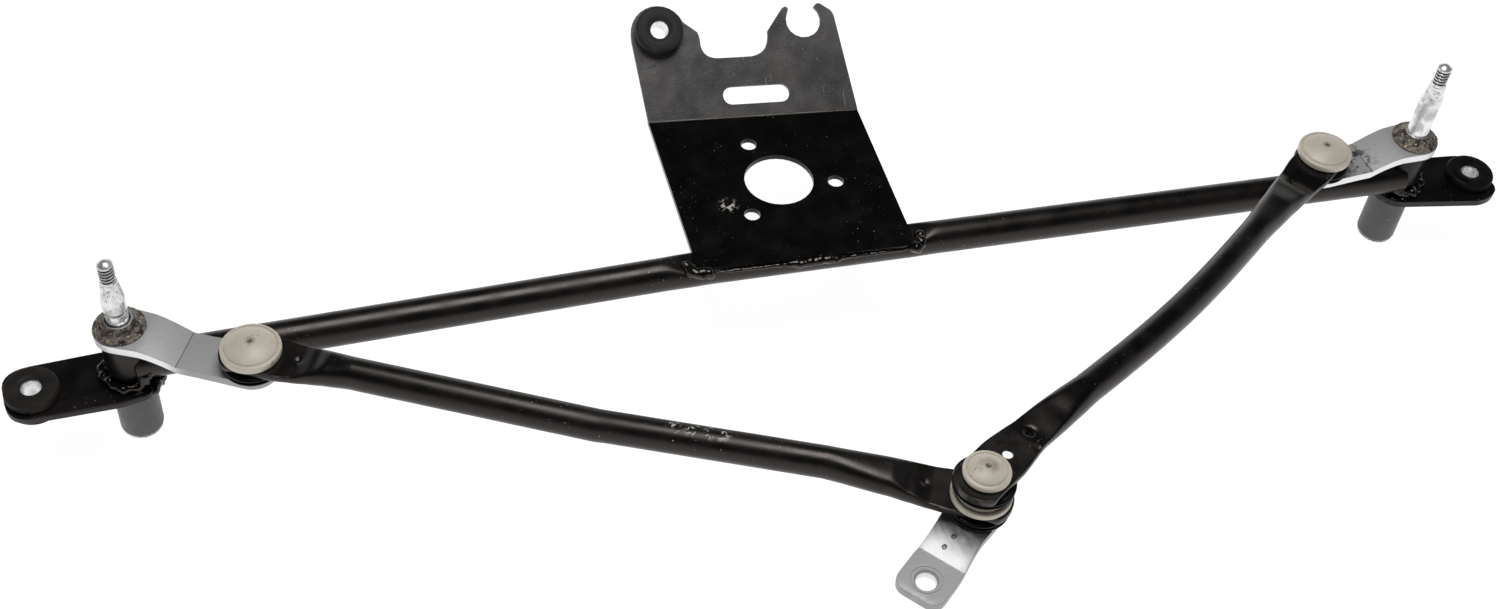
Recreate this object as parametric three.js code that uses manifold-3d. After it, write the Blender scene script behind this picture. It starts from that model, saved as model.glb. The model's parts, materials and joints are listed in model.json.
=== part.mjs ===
// Windshield wiper linkage: a tube frame with two pivot housings, two levers, two link rods and a motor crank.
// Millimetres, +Z up. The origin is the left cowl bolt's axis at the underside of its sleeve.
// +X runs to the right pivot and +Y to the rear.
import * as THREE from "three";
import { mergeVertices } from "three/addons/utils/BufferGeometryUtils.js";
import Module from "manifold-3d";

const wasm = await Module();
wasm.setup();

const SIDEWAYS = new THREE.Vector3(1, 0, 0);
const REARWARD = new THREE.Vector3(0, 1, 0);
const UPWARD = new THREE.Vector3(0, 0, 1);

// ---------- Driving dimensions ----------
const GAP = 0.3; // between pieces that touch
const PLATE = 5; // levers and motor crank

// Pivots and ball joints, seen from above.
const PIVOT_SPACING = 718;
const LEFT_PIVOT = new THREE.Vector3(47.5, 5.5, 0);
const RIGHT_PIVOT = new THREE.Vector3(LEFT_PIVOT.x + PIVOT_SPACING, LEFT_PIVOT.y, 0);
const LEFT_BALL = new THREE.Vector3(108.3, -25.5, 0);
const MIDDLE_BALL = new THREE.Vector3(429.3, -189.3, 0);
const RIGHT_BALL = new THREE.Vector3(704.5, 0.9, 0);
const CRANK_HOLE = new THREE.Vector3(394.7, -219.2, 0);
const RIGHT_BOLT = new THREE.Vector3(809.4, -0.6, 0);

// Heights.
const SLEEVE_HEIGHT = 16.4;
const EAR_BOTTOM = 6.2;
const EAR_TOP = 10.2;
const HOUSING_BOTTOM = -31;
const HOUSING_TOP = 37.2;
const LEVER_TOP = 43.8; // at the hub
const JOGGLE = 7; // the levers and the crank step down by this much
const SIDE_LINK_BOTTOM = 42.3; // link plate over the outer balls
const LOWER_LINK_BOTTOM = 51.3; // left link over the middle stud
const UPPER_LINK_BOTTOM = 68; // right link over the middle stud
const CRANK_TOP = 45.8; // at the middle stud
const LEFT_TIP = 91;
const RIGHT_TIP = 99.6;

// Pivot shafts.
const SHAFT_RADIUS = 6;
const THREAD_RADIUS = 3.95;
const SHAFT_BOTTOM = -36.5;
const CLIP_GROOVE = 0.8;
const HOUSING_RADIUS = 11;
const HOUSING_BORE = 8.8;
const BUSHING_LENGTH = 15;
const COLLAR_HEIGHT = 6.2;
const COLLAR_RADIUS = 13;

// Frame tube.
const TUBE_RADIUS = 9.2;
const TUBE_WALL = 1.5;
const TUBE_HEIGHT = 19.7; // its axis
const TUBE_PRESS = 3.9; // how far its top is pressed flat under the bracket
const TUBE_BEND = new THREE.Vector2(350, 8.9);
const TUBE_LEFT_Y = 2.2;
const TUBE_RIGHT_Y = 0.1;

// Motor bracket.
const SHEET = 3;
const BRACKET_LEFT = 341.2;
const BRACKET_WIDTH = 120.7;
const BRACKET_TOP = 28.3;
const BEND_Y = 115.5; // at the bracket's left edge
const BEND_SKEW = THREE.MathUtils.degToRad(-5.54);
const FRONT_EDGE_Y = 0.1;
const FRONT_SKEW = THREE.MathUtils.degToRad(-2.2);
const FLANGE_ANGLE = THREE.MathUtils.degToRad(35);
const MOTOR_CENTRE = new THREE.Vector2(401.9, 57.7);
const MOTOR_HOLE_RADIUS = 19.3;
const MOTOR_BOLT_CIRCLE = 31.7;
const MOTOR_BOLT_RADIUS = 4.5;
const MOTOR_BOLT_START = THREE.MathUtils.degToRad(107);
const FLANGE_BOLT = new THREE.Vector2(10.2, 51.7); // along the bend, up the flange

// Rubber grommets and their sleeves.
const GROMMET_RADIUS = 13.7;
const GROMMET_NECK = 8.5;
const SLEEVE_RADIUS = 6.5;
const SLEEVE_BORE = 5;

// Link rods: 16 mm tube pressed flat at both ends.
// Each end lists half width, half height and the centre line's lift at distances from the ball.
const ROD_WALL = 1.8;
const ROD_END_RADIUS = 16;
const FLAT_HALF_HEIGHT = 2;
const FLAT_REACH = 30;
const RIGHT_BOW = 7.3;
const LEFT_OUTER_END = [
  { distance: 14, halfWidth: 12.5, halfHeight: FLAT_HALF_HEIGHT, lift: 0 },
  { distance: 34, halfWidth: 9.8, halfHeight: 3, lift: 0.4 },
  { distance: 52, halfWidth: 8.6, halfHeight: 6.6, lift: 1.6 },
  { distance: 70, halfWidth: 8, halfHeight: 8, lift: 2 },
];
const LEFT_MIDDLE_END = [
  { distance: 14, halfWidth: 12.5, halfHeight: FLAT_HALF_HEIGHT, lift: 0 },
  { distance: 32, halfWidth: 11, halfHeight: 2.2, lift: 0 },
  { distance: 60, halfWidth: 10.2, halfHeight: 5, lift: 1.5 },
  { distance: 90, halfWidth: 8, halfHeight: 8, lift: 2 },
];
const RIGHT_MIDDLE_END = [
  { distance: 14, halfWidth: 12.5, halfHeight: FLAT_HALF_HEIGHT, lift: 0 },
  { distance: 38, halfWidth: 9.6, halfHeight: 2.6, lift: 0 },
  { distance: 68, halfWidth: 9.6, halfHeight: 5.4, lift: 0 },
  { distance: 88, halfWidth: 8, halfHeight: 8, lift: 0 },
];
const RIGHT_OUTER_END = [
  { distance: 16, halfWidth: 12.5, halfHeight: FLAT_HALF_HEIGHT, lift: 0 },
  { distance: 40, halfWidth: 10.6, halfHeight: 4, lift: 0 },
  { distance: 62, halfWidth: 9.6, halfHeight: 6, lift: 0 },
  { distance: 90, halfWidth: 8, halfHeight: 8, lift: 0 },
];

// Ball joints.
const CAP_RADIUS = 15;
const SMALL_CAP_RADIUS = 11.6;
const BALL_RADIUS = 6.5;
const UPPER_BALL_RADIUS = 5;
const LOOSE_BALL_RADIUS = 4.2; // the opened joint's ball, with room to wander
const LOOSE_HOLE = 10.2;
const SOCKET_NECK = 8.7;
const UPPER_SOCKET_NECK = 7.2;
const SEAL_RADIUS = 15.5;
const RIVET_SHANK = 3.5;

// ---------- Materials ----------
const blackPaint = metal("black paint", 0x17181a, 0.35, 0.2);
const satinBlack = metal("satin black paint", 0x202124, 0.5, 0.2);
const housingSteel = metal("dark phosphated steel", 0x505054, 0.55, 0.6);
const zinc = metal("zinc plate", 0x96979a, 0.38, 0.85);
const brightSteel = metal("bright steel", 0xb9babd, 0.25, 0.95);
const stakedSteel = metal("staked collar steel", 0x645a4b, 0.7, 0.6);
const nylon = metal("nylon", 0xbeb29b, 0.45, 0);
const rubber = metal("rubber", 0x17171a, 0.85, 0);
const bronze = metal("sintered bronze", 0x8a6a3c, 0.5, 0.8);

function metal(name, color, roughness, metalness) {
  return new THREE.MeshStandardMaterial({ name, color, roughness, metalness });
}

// ---------- Solids ----------
function solid(geometry) {
  const bare = new THREE.BufferGeometry();
  bare.setAttribute("position", geometry.getAttribute("position"));
  if (geometry.index) {
    bare.setIndex(geometry.index);
  }
  const merged = mergeVertices(bare, 1e-4);
  return new wasm.Manifold(
    new wasm.Mesh({
      numProp: 3,
      vertProperties: new Float32Array(merged.attributes.position.array),
      triVerts: new Uint32Array(merged.index.array),
    }),
  );
}

function geometryOf(body) {
  const mesh = body.getMesh();
  const geometry = new THREE.BufferGeometry();
  geometry.setAttribute("position", new THREE.BufferAttribute(mesh.vertProperties, 3));
  geometry.setIndex(new THREE.BufferAttribute(mesh.triVerts, 1));
  const flat = geometry.toNonIndexed();
  flat.computeVertexNormals();
  return flat;
}

// A body turned about Z from a profile of [radius, height] pairs, listed with the material on the left.
function turned(profile, segments = 24) {
  const points = profile.map(([radius, height]) => new THREE.Vector2(radius, height));
  const geometry = new THREE.LatheGeometry(points, segments);
  geometry.rotateX(Math.PI / 2);
  return geometry;
}

function ring(inner, outer, bottom, top, segments = 24) {
  const profile = [
    [inner, bottom],
    [outer, bottom],
    [outer, top],
    [inner, top],
    [inner, bottom],
  ];
  return turned(profile, segments);
}

function rod(radius, bottom, top, segments = 24) {
  const profile = [
    [0, bottom],
    [radius, bottom],
    [radius, top],
    [0, top],
  ];
  return turned(profile, segments);
}

function prism(shape, bottom, top, curveSegments = 6) {
  const geometry = new THREE.ExtrudeGeometry(shape, {
    depth: top - bottom,
    bevelEnabled: false,
    curveSegments,
  });
  geometry.translate(0, 0, bottom);
  return geometry;
}

// An upright hole cutter at a point of the plan.
function drill(point, radius, bottom, top, segments = 24) {
  return solid(rod(radius, bottom, top, segments).translate(point.x, point.y, 0));
}

// A skin over a row of sections. Each section is a list of points, and both ends are closed by a fan.
function loft(sections) {
  const sides = sections[0].length;
  const positions = [];
  sections.forEach((section) => section.forEach((p) => positions.push(p.x, p.y, p.z)));
  const index = [];
  for (let row = 0; row + 1 < sections.length; row++) {
    for (let side = 0; side < sides; side++) {
      const a = row * sides + side;
      const b = row * sides + ((side + 1) % sides);
      index.push(a, b, a + sides, b, b + sides, a + sides);
    }
  }
  const last = (sections.length - 1) * sides;
  for (let side = 1; side + 1 < sides; side++) {
    index.push(0, side + 1, side, last, last + side, last + side + 1);
  }
  const geometry = new THREE.BufferGeometry();
  geometry.setAttribute("position", new THREE.Float32BufferAttribute(positions, 3));
  geometry.setIndex(index);
  return geometry;
}

// An oval section with flat top and bottom: a circle where its half width and half heights are equal.
function ovalSection(centre, across, halfWidth, halfTop, halfBottom, sides = 16) {
  const points = [];
  for (let side = 0; side < sides; side++) {
    const angle = ((side + 0.5) / sides) * 2 * Math.PI;
    const halfHeight = angle < Math.PI ? halfTop : halfBottom;
    const corner = Math.min(halfWidth, halfHeight);
    const offset = Math.sign(Math.cos(angle)) * (halfWidth - corner) + Math.cos(angle) * corner;
    const height = Math.sin(angle) * halfHeight;
    points.push(centre.clone().addScaledVector(across, offset).addScaledVector(UPWARD, height));
  }
  return points;
}

const root = new THREE.Group();
root.name = "wiper_linkage";

function add(name, shape, material, parent = root) {
  const geometry = shape instanceof THREE.BufferGeometry ? shape : geometryOf(shape);
  const mesh = new THREE.Mesh(geometry, material);
  mesh.name = name;
  parent.add(mesh);
  return mesh;
}

// ---------- Frame tube ----------
function tubeCentre(x) {
  const left = new THREE.Vector2(LEFT_PIVOT.x, TUBE_LEFT_Y);
  const right = new THREE.Vector2(RIGHT_PIVOT.x, TUBE_RIGHT_Y);
  const end = x < TUBE_BEND.x ? left : right;
  const along = (x - TUBE_BEND.x) / (end.x - TUBE_BEND.x);
  return new THREE.Vector3(x, TUBE_BEND.y + (end.y - TUBE_BEND.y) * along, TUBE_HEIGHT);
}

function tubeSkin(radius, from, to) {
  const pressStart = BRACKET_LEFT + 1;
  const pressEnd = BRACKET_LEFT + BRACKET_WIDTH - 1;
  const ramp = 12;
  const stations = [
    [from, 0],
    [pressStart - ramp, 0],
    [pressStart, 1],
    [TUBE_BEND.x, 1],
    [pressEnd, 1],
    [pressEnd + ramp, 0],
    [to, 0],
  ];
  const sections = stations.map(([x, pressed]) => {
    return ovalSection(tubeCentre(x), REARWARD, radius, radius - TUBE_PRESS * pressed, radius, 20);
  });
  return solid(loft(sections));
}

function frameTube() {
  const reach = 5; // the coped end starts this far from the pivot axis
  let tube = tubeSkin(TUBE_RADIUS, LEFT_PIVOT.x + reach, RIGHT_PIVOT.x - reach);
  tube = tube.subtract(tubeSkin(TUBE_RADIUS - TUBE_WALL, LEFT_PIVOT.x, RIGHT_PIVOT.x));
  [LEFT_PIVOT, RIGHT_PIVOT].forEach((pivot) => {
    tube = tube.subtract(drill(pivot, HOUSING_RADIUS + GAP, -20, 60));
  });
  return tube;
}

// ---------- Motor bracket ----------
// The flange's own frame: X along the bend, Y up the flange, Z off its upper face.
const flangeFrame = new THREE.Matrix4()
  .makeTranslation(BRACKET_LEFT, BEND_Y, BRACKET_TOP)
  .multiply(new THREE.Matrix4().makeRotationZ(BEND_SKEW))
  .multiply(new THREE.Matrix4().makeRotationX(FLANGE_ANGLE));

// The sheet's side view, bent once, swept along the bend line.
function bentSheet() {
  const inner = 3;
  const outer = inner + SHEET;
  const back = inner * Math.tan(FLANGE_ANGLE / 2);
  const reach = 130;
  const up = new THREE.Vector2(Math.cos(FLANGE_ANGLE), Math.sin(FLANGE_ANGLE));
  const side = new THREE.Shape();
  const start = -Math.PI / 2;
  side.moveTo(-reach, -SHEET);
  side.lineTo(-back, -SHEET);
  side.absarc(-back, inner, outer, start, start + FLANGE_ANGLE, false);
  side.lineTo(up.x * reach + up.y * SHEET, up.y * reach - up.x * SHEET);
  side.lineTo(up.x * reach, up.y * reach);
  side.absarc(-back, inner, inner, start + FLANGE_ANGLE, start, true);
  side.lineTo(-reach, 0);
  const overrun = 20;
  const sheet = prism(side, -overrun, BRACKET_WIDTH + overrun, 4);
  const alongBend = new THREE.Matrix4().makeBasis(REARWARD, UPWARD, SIDEWAYS);
  sheet.applyMatrix4(alongBend);
  sheet.rotateZ(BEND_SKEW);
  sheet.translate(BRACKET_LEFT, BEND_Y, BRACKET_TOP);
  return solid(sheet);
}

function plateOutline() {
  const right = BRACKET_LEFT + BRACKET_WIDTH;
  const pastBend = 2.5;
  const corner = 7;
  const frontRight = FRONT_EDGE_Y + Math.tan(FRONT_SKEW) * BRACKET_WIDTH;
  const bendRight = BEND_Y + Math.tan(BEND_SKEW) * BRACKET_WIDTH;
  const plate = new THREE.Shape();
  plate.moveTo(BRACKET_LEFT + corner, FRONT_EDGE_Y);
  plate.lineTo(right - corner, frontRight);
  plate.quadraticCurveTo(right, frontRight, right, frontRight + corner);
  plate.lineTo(right, bendRight + pastBend);
  plate.lineTo(BRACKET_LEFT, BEND_Y + pastBend);
  plate.lineTo(BRACKET_LEFT, FRONT_EDGE_Y + corner);
  plate.quadraticCurveTo(BRACKET_LEFT, FRONT_EDGE_Y, BRACKET_LEFT + corner, FRONT_EDGE_Y);
  return plate;
}

// The flange: a round lobe for the grommet, a U notch, then an open fork beside the right edge.
function flangeOutline() {
  const lobe = 15.6;
  const width = BRACKET_WIDTH / Math.cos(BEND_SKEW);
  const fork = { x: 94.8, y: 54.6, radius: 10.2 };
  const notch = { left: 33.8, right: 73.4, floor: 35, corner: 8 };
  const leftProng = THREE.MathUtils.degToRad(153);
  const rightProng = THREE.MathUtils.degToRad(48);
  const flange = new THREE.Shape();
  flange.moveTo(0, -1);
  flange.lineTo(0, 1);
  flange.lineTo(FLANGE_BOLT.x - lobe, FLANGE_BOLT.y - 4);
  flange.absarc(FLANGE_BOLT.x, FLANGE_BOLT.y, lobe, Math.PI, 0.35, true);
  flange.lineTo(32.4, 51);
  flange.quadraticCurveTo(notch.left, 48.5, notch.left, notch.floor + notch.corner);
  flange.quadraticCurveTo(notch.left + 1, notch.floor, notch.left + notch.corner + 2, notch.floor);
  flange.lineTo(notch.right - notch.corner - 3, notch.floor);
  flange.quadraticCurveTo(notch.right - 1, notch.floor + 1, notch.right, notch.floor + notch.corner + 4);
  flange.lineTo(notch.right, 49.5);
  flange.lineTo(82.4, 61.6);
  flange.quadraticCurveTo(85.2, 64.4, 86.6, 61.6);
  flange.absarc(fork.x, fork.y, fork.radius, leftProng, rightProng, false);
  flange.quadraticCurveTo(103.6, 65.2, 106, 63.4);
  flange.lineTo(111, 59.8);
  flange.quadraticCurveTo(112.8, 58, 113.2, 54.6);
  flange.lineTo(width, 1);
  flange.lineTo(width, -1);
  return flange;
}

function slotShape(x, y, length, height) {
  const radius = height / 2;
  const reach = length / 2 - radius;
  const slot = new THREE.Shape();
  slot.moveTo(x - reach, y - radius);
  slot.lineTo(x + reach, y - radius);
  slot.absarc(x + reach, y, radius, -Math.PI / 2, Math.PI / 2, false);
  slot.lineTo(x - reach, y + radius);
  slot.absarc(x - reach, y, radius, Math.PI / 2, (3 * Math.PI) / 2, false);
  return slot;
}

function motorBracket() {
  const plate = solid(prism(plateOutline(), BRACKET_TOP - SHEET - 1, BRACKET_TOP + 2));
  const flange = solid(prism(flangeOutline(), -9, 9).applyMatrix4(flangeFrame));
  let bracket = bentSheet().intersect(plate.add(flange));
  bracket = bracket.subtract(drill(MOTOR_CENTRE, MOTOR_HOLE_RADIUS, 0, 60, 32));
  for (let bolt = 0; bolt < 3; bolt++) {
    const angle = MOTOR_BOLT_START + (bolt * 2 * Math.PI) / 3;
    const offset = new THREE.Vector2(Math.cos(angle), Math.sin(angle)).multiplyScalar(MOTOR_BOLT_CIRCLE);
    bracket = bracket.subtract(drill(offset.add(MOTOR_CENTRE), MOTOR_BOLT_RADIUS, 0, 60, 16));
  }
  const slot = prism(slotShape(63.4, 12.9, 38.7, 10.6), -20, 20);
  const boltHole = rod(GROMMET_NECK + GAP, -20, 20).translate(FLANGE_BOLT.x, FLANGE_BOLT.y, 0);
  [slot, boltHole].forEach((cutter) => {
    bracket = bracket.subtract(solid(cutter.applyMatrix4(flangeFrame)));
  });
  return bracket;
}

// Three short weld beads where the bracket's front edge meets the tube.
function bracketWeld(fraction, length) {
  const x = BRACKET_LEFT + BRACKET_WIDTH * fraction;
  const edge = FRONT_EDGE_Y + Math.tan(FRONT_SKEW) * (x - BRACKET_LEFT);
  const bead = new THREE.SphereGeometry(1, 12, 8);
  bead.scale(length / 2, 3, 2.8);
  bead.translate(x, edge - 0.6, BRACKET_TOP - SHEET + 0.4);
  const skewRise = (length / 2) * Math.tan(-FRONT_SKEW);
  const above = new THREE.BoxGeometry(80, 60, SHEET + 2 * GAP);
  above.translate(x, edge - GAP - skewRise + 30, BRACKET_TOP - SHEET / 2);
  return solid(bead)
    .subtract(tubeSkin(TUBE_RADIUS + GAP, LEFT_PIVOT.x, RIGHT_PIVOT.x))
    .subtract(solid(above));
}

// ---------- Pivot housings and ears ----------
function housing() {
  const chamfer = 0.8;
  return turned([
    [HOUSING_BORE, HOUSING_BOTTOM],
    [HOUSING_RADIUS - chamfer, HOUSING_BOTTOM],
    [HOUSING_RADIUS, HOUSING_BOTTOM + chamfer],
    [HOUSING_RADIUS, HOUSING_TOP - chamfer],
    [HOUSING_RADIUS - chamfer, HOUSING_TOP],
    [HOUSING_BORE, HOUSING_TOP],
    [HOUSING_BORE, HOUSING_BOTTOM],
  ]);
}

function leftEarOutline() {
  const ear = new THREE.Shape();
  ear.moveTo(12.4, -15.8);
  ear.lineTo(42, -15);
  ear.lineTo(53.5, -12.8);
  ear.quadraticCurveTo(57.5, -11.5, 58.5, -7.5);
  ear.lineTo(64, -1.5);
  ear.quadraticCurveTo(65.4, 0.8, 64.6, 4);
  ear.quadraticCurveTo(61, 19, 47.5, 21);
  ear.lineTo(33, 20.8);
  ear.lineTo(-0.7, 18.6);
  ear.quadraticCurveTo(-14.6, 17.5, -14.8, 7);
  ear.lineTo(-13.8, -4);
  ear.quadraticCurveTo(-12.5, -16.2, 0, -16.2);
  ear.lineTo(12.4, -15.8);
  return ear;
}

function rightEarOutline() {
  const ear = new THREE.Shape();
  ear.moveTo(761.5, -12.3);
  ear.lineTo(783, -16);
  ear.lineTo(806, -19.7);
  ear.quadraticCurveTo(815, -20, 820.5, -14);
  ear.quadraticCurveTo(822.8, -11, 822, -7);
  ear.quadraticCurveTo(827.5, -1, 823.5, 7);
  ear.quadraticCurveTo(818, 17.5, 808, 18);
  ear.lineTo(780, 20.5);
  ear.quadraticCurveTo(765, 22.5, 754, 17);
  ear.quadraticCurveTo(748.6, 12, 749, 4);
  ear.quadraticCurveTo(749.5, -9.5, 761.5, -12.3);
  return ear;
}

function mountingEar(outline, pivot, bolt) {
  return solid(prism(outline, EAR_BOTTOM, EAR_TOP))
    .subtract(drill(pivot, HOUSING_RADIUS + GAP, 0, 20))
    .subtract(drill(bolt, GROMMET_NECK + GAP, 0, 20));
}

// A bead of weld round the housing on top of the ear, broken where the tube comes in.
function housingWeld(pivot) {
  const bottom = EAR_TOP + GAP;
  const inner = HOUSING_RADIUS + GAP;
  const bead = turned([
    [inner, bottom],
    [inner + 3.2, bottom],
    [inner + 2.2, bottom + 1.8],
    [inner, bottom + 3],
    [inner, bottom],
  ]);
  return solid(bead.translate(pivot.x, pivot.y, 0))
    .subtract(tubeSkin(TUBE_RADIUS + GAP, LEFT_PIVOT.x, RIGHT_PIVOT.x));
}

// ---------- Grommets and sleeves ----------
// Heights are measured from the underside of the sleeve.
function grommet(plateBottom, plateTop, top) {
  const bore = SLEEVE_RADIUS + GAP;
  const bottom = 0.4;
  const round = 1.4;
  return turned([
    [bore, bottom],
    [GROMMET_RADIUS - round, bottom],
    [GROMMET_RADIUS, bottom + round],
    [GROMMET_RADIUS, plateBottom - GAP],
    [GROMMET_NECK, plateBottom - GAP],
    [GROMMET_NECK, plateTop + GAP],
    [GROMMET_RADIUS, plateTop + GAP],
    [GROMMET_RADIUS, top - round],
    [GROMMET_RADIUS - round, top],
    [bore, top],
    [bore, bottom],
  ]);
}

function sleeve(height) {
  return ring(SLEEVE_BORE, SLEEVE_RADIUS, 0, height);
}

// ---------- Shafts, bushings, washers ----------
// The tip's heights count down from the top: dome, thread, knurled cone, shank.
function wiperShaft(tip) {
  const grooveTop = HOUSING_BOTTOM - 1.3;
  const grooveBottom = grooveTop - 1.6;
  const chamfer = 0.7;
  return turned([
    [0, SHAFT_BOTTOM],
    [SHAFT_RADIUS - chamfer, SHAFT_BOTTOM],
    [SHAFT_RADIUS, SHAFT_BOTTOM + chamfer],
    [SHAFT_RADIUS, grooveBottom],
    [SHAFT_RADIUS - CLIP_GROOVE, grooveBottom],
    [SHAFT_RADIUS - CLIP_GROOVE, grooveTop],
    [SHAFT_RADIUS, grooveTop],
    [SHAFT_RADIUS, tip - 26.5],
    [SHAFT_RADIUS - 0.2, tip - 26],
    [4.4, tip - 14.3],
    [THREAD_RADIUS, tip - 14],
    [THREAD_RADIUS, tip - 2.6],
    [THREAD_RADIUS * 0.75, tip - 1],
    [THREAD_RADIUS * 0.4, tip - 0.2],
    [0, tip],
  ]);
}

function collar() {
  const bottom = LEVER_TOP + GAP;
  const bore = SHAFT_RADIUS + GAP;
  return turned([
    [bore, bottom],
    [COLLAR_RADIUS, bottom],
    [COLLAR_RADIUS - 0.6, bottom + 1.4],
    [COLLAR_RADIUS - 3, bottom + 3.6],
    [8.2, bottom + COLLAR_HEIGHT - 0.6],
    [7.4, bottom + COLLAR_HEIGHT],
    [bore, bottom + COLLAR_HEIGHT],
    [bore, bottom],
  ]);
}

// ---------- Levers and motor crank ----------
// A plate arm along +X that steps down between two distances from its hub.
function joggledArm(outline, stepFrom, stepTo, top) {
  const reach = 120;
  const side = new THREE.Shape();
  side.moveTo(-reach, -PLATE);
  side.lineTo(stepFrom, -PLATE);
  side.lineTo(stepTo, -PLATE - JOGGLE);
  side.lineTo(reach, -PLATE - JOGGLE);
  side.lineTo(reach, -JOGGLE);
  side.lineTo(stepTo, -JOGGLE);
  side.lineTo(stepFrom, 0);
  side.lineTo(-reach, 0);
  const sheet = prism(side, -30, 30);
  sheet.rotateX(Math.PI / 2);
  sheet.translate(0, 0, top);
  return solid(prism(outline, top - 20, top + 10, 8)).intersect(solid(sheet));
}

// Two round ends of different size joined by a slightly waisted arm.
function leverOutline(length, hubRadius, waist, endRadius) {
  const open = 1.35;
  const arm = new THREE.Shape();
  const middle = length / 2;
  arm.absarc(0, 0, hubRadius, open, 2 * Math.PI - open, false);
  arm.quadraticCurveTo(middle * 0.5, -waist, middle, -waist);
  arm.quadraticCurveTo(middle * 1.4, -waist, length - endRadius * 0.1, -endRadius);
  arm.absarc(length, 0, endRadius, -Math.PI / 2, Math.PI / 2, false);
  arm.quadraticCurveTo(middle * 1.4, waist, middle, waist);
  arm.quadraticCurveTo(middle * 0.5, waist, hubRadius * Math.cos(open), hubRadius * Math.sin(open));
  return arm;
}

function lever(length) {
  const ball = new THREE.Vector2(length, 0);
  const outline = leverOutline(length, 13.4, 11.6, 12.4);
  return joggledArm(outline, 16, 32, LEVER_TOP)
    .subtract(drill(new THREE.Vector2(), SHAFT_RADIUS + GAP, 0, 60))
    .subtract(drill(ball, RIVET_SHANK + GAP, 0, 60, 16));
}

// The crank's motor end is cut square, with rounded corners, and its hole is countersunk.
function motorCrank() {
  const half = 12.9;
  const waist = 11.9;
  const corner = 7;
  const length = MIDDLE_BALL.distanceTo(CRANK_HOLE);
  const end = length + 10.6;
  const outline = new THREE.Shape();
  outline.absarc(0, 0, half, Math.PI / 2, (3 * Math.PI) / 2, false);
  outline.quadraticCurveTo(12, -waist, length / 2, -waist);
  outline.quadraticCurveTo(length - 10, -waist, length - 6, -half);
  outline.lineTo(end - corner, -half);
  outline.quadraticCurveTo(end - 1, -half, end, -half + corner);
  outline.lineTo(end, half - corner);
  outline.quadraticCurveTo(end - 1, half, end - corner, half);
  outline.lineTo(length - 6, half);
  outline.quadraticCurveTo(length - 10, waist, length / 2, waist);
  outline.quadraticCurveTo(12, waist, 0, half);
  const hubTop = CRANK_TOP - JOGGLE;
  const countersink = turned([
    [0, hubTop - 2],
    [5, hubTop - 2],
    [7.4, hubTop + 0.4],
    [0, hubTop + 0.4],
  ]).translate(length, 0, 0);
  return joggledArm(outline, 19, 30, CRANK_TOP)
    .subtract(drill(new THREE.Vector2(), RIVET_SHANK + GAP, 0, 60, 16))
    .subtract(drill(new THREE.Vector2(length, 0), 5, 0, 60))
    .subtract(solid(countersink));
}

// ---------- Link rods ----------
// Width, height and lift of a pressed end at a distance from its ball, between the listed points.
function pressedSection(end, distance) {
  const inner = end.findIndex((point) => point.distance >= distance);
  if (inner <= 0) {
    return inner === 0 ? end[0] : end[end.length - 1];
  }
  const from = end[inner - 1];
  const to = end[inner];
  const along = (distance - from.distance) / (to.distance - from.distance);
  return {
    halfWidth: THREE.MathUtils.lerp(from.halfWidth, to.halfWidth, along),
    halfHeight: THREE.MathUtils.lerp(from.halfHeight, to.halfHeight, along),
    lift: THREE.MathUtils.lerp(from.lift, to.lift, along),
  };
}

// A round tube with both ends pressed flat, along +X from the first ball to the last one.
// squeeze shrinks the section, for the bore.
function linkRod(rodShape, squeeze) {
  const { length, firstEnd, lastEnd, height, bow } = rodShape;
  const overrun = -ROD_END_RADIUS - 3 - squeeze;
  const middles = [0.32, 0.42, 0.5, 0.58, 0.68].map((part) => part * length);
  const first = [overrun, ...firstEnd.map((point) => point.distance)];
  const last = [overrun, ...lastEnd.map((point) => point.distance)].map((distance) => length - distance);
  const sections = [...first, ...middles, ...last.reverse()].map((distance) => {
    const atFirst = distance < length / 2;
    const pressed = pressedSection(atFirst ? firstEnd : lastEnd, atFirst ? distance : length - distance);
    const centre = new THREE.Vector3(distance, bow(distance), height(distance) + pressed.lift);
    const halfHeight = pressed.halfHeight - squeeze;
    return ovalSection(centre, REARWARD, pressed.halfWidth - squeeze, halfHeight, halfHeight);
  });
  return solid(loft(sections));
}

function roundEnds(length) {
  const outline = new THREE.Shape();
  outline.absarc(0, 0, ROD_END_RADIUS, Math.PI / 2, (3 * Math.PI) / 2, false);
  outline.absarc(length, 0, ROD_END_RADIUS, -Math.PI / 2, Math.PI / 2, false);
  return solid(prism(outline, 0, 100, 10));
}

// The pressed ends keep a hairline slit between their two walls, so the bore is open at both tips.
function link(rodShape, firstHole, lastHole) {
  return linkRod(rodShape, 0)
    .intersect(roundEnds(rodShape.length))
    .subtract(linkRod(rodShape, ROD_WALL))
    .subtract(drill(new THREE.Vector2(), firstHole, 0, 100))
    .subtract(drill(new THREE.Vector2(rodShape.length, 0), lastHole, 0, 100));
}

function ramp(distance, from, to, low, high) {
  return THREE.MathUtils.lerp(low, high, THREE.MathUtils.clamp((distance - from) / (to - from), 0, 1));
}

// The left link runs level, then climbs to the middle stud.
function leftLink(length) {
  const low = SIDE_LINK_BOTTOM + FLAT_HALF_HEIGHT;
  const high = LOWER_LINK_BOTTOM + FLAT_HALF_HEIGHT;
  const rodShape = {
    length,
    firstEnd: LEFT_OUTER_END,
    lastEnd: LEFT_MIDDLE_END,
    height: (distance) => ramp(distance, 175, length - 75, low, high),
    bow: () => 0,
  };
  return link(rodShape, SOCKET_NECK + GAP, SOCKET_NECK + GAP);
}

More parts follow.
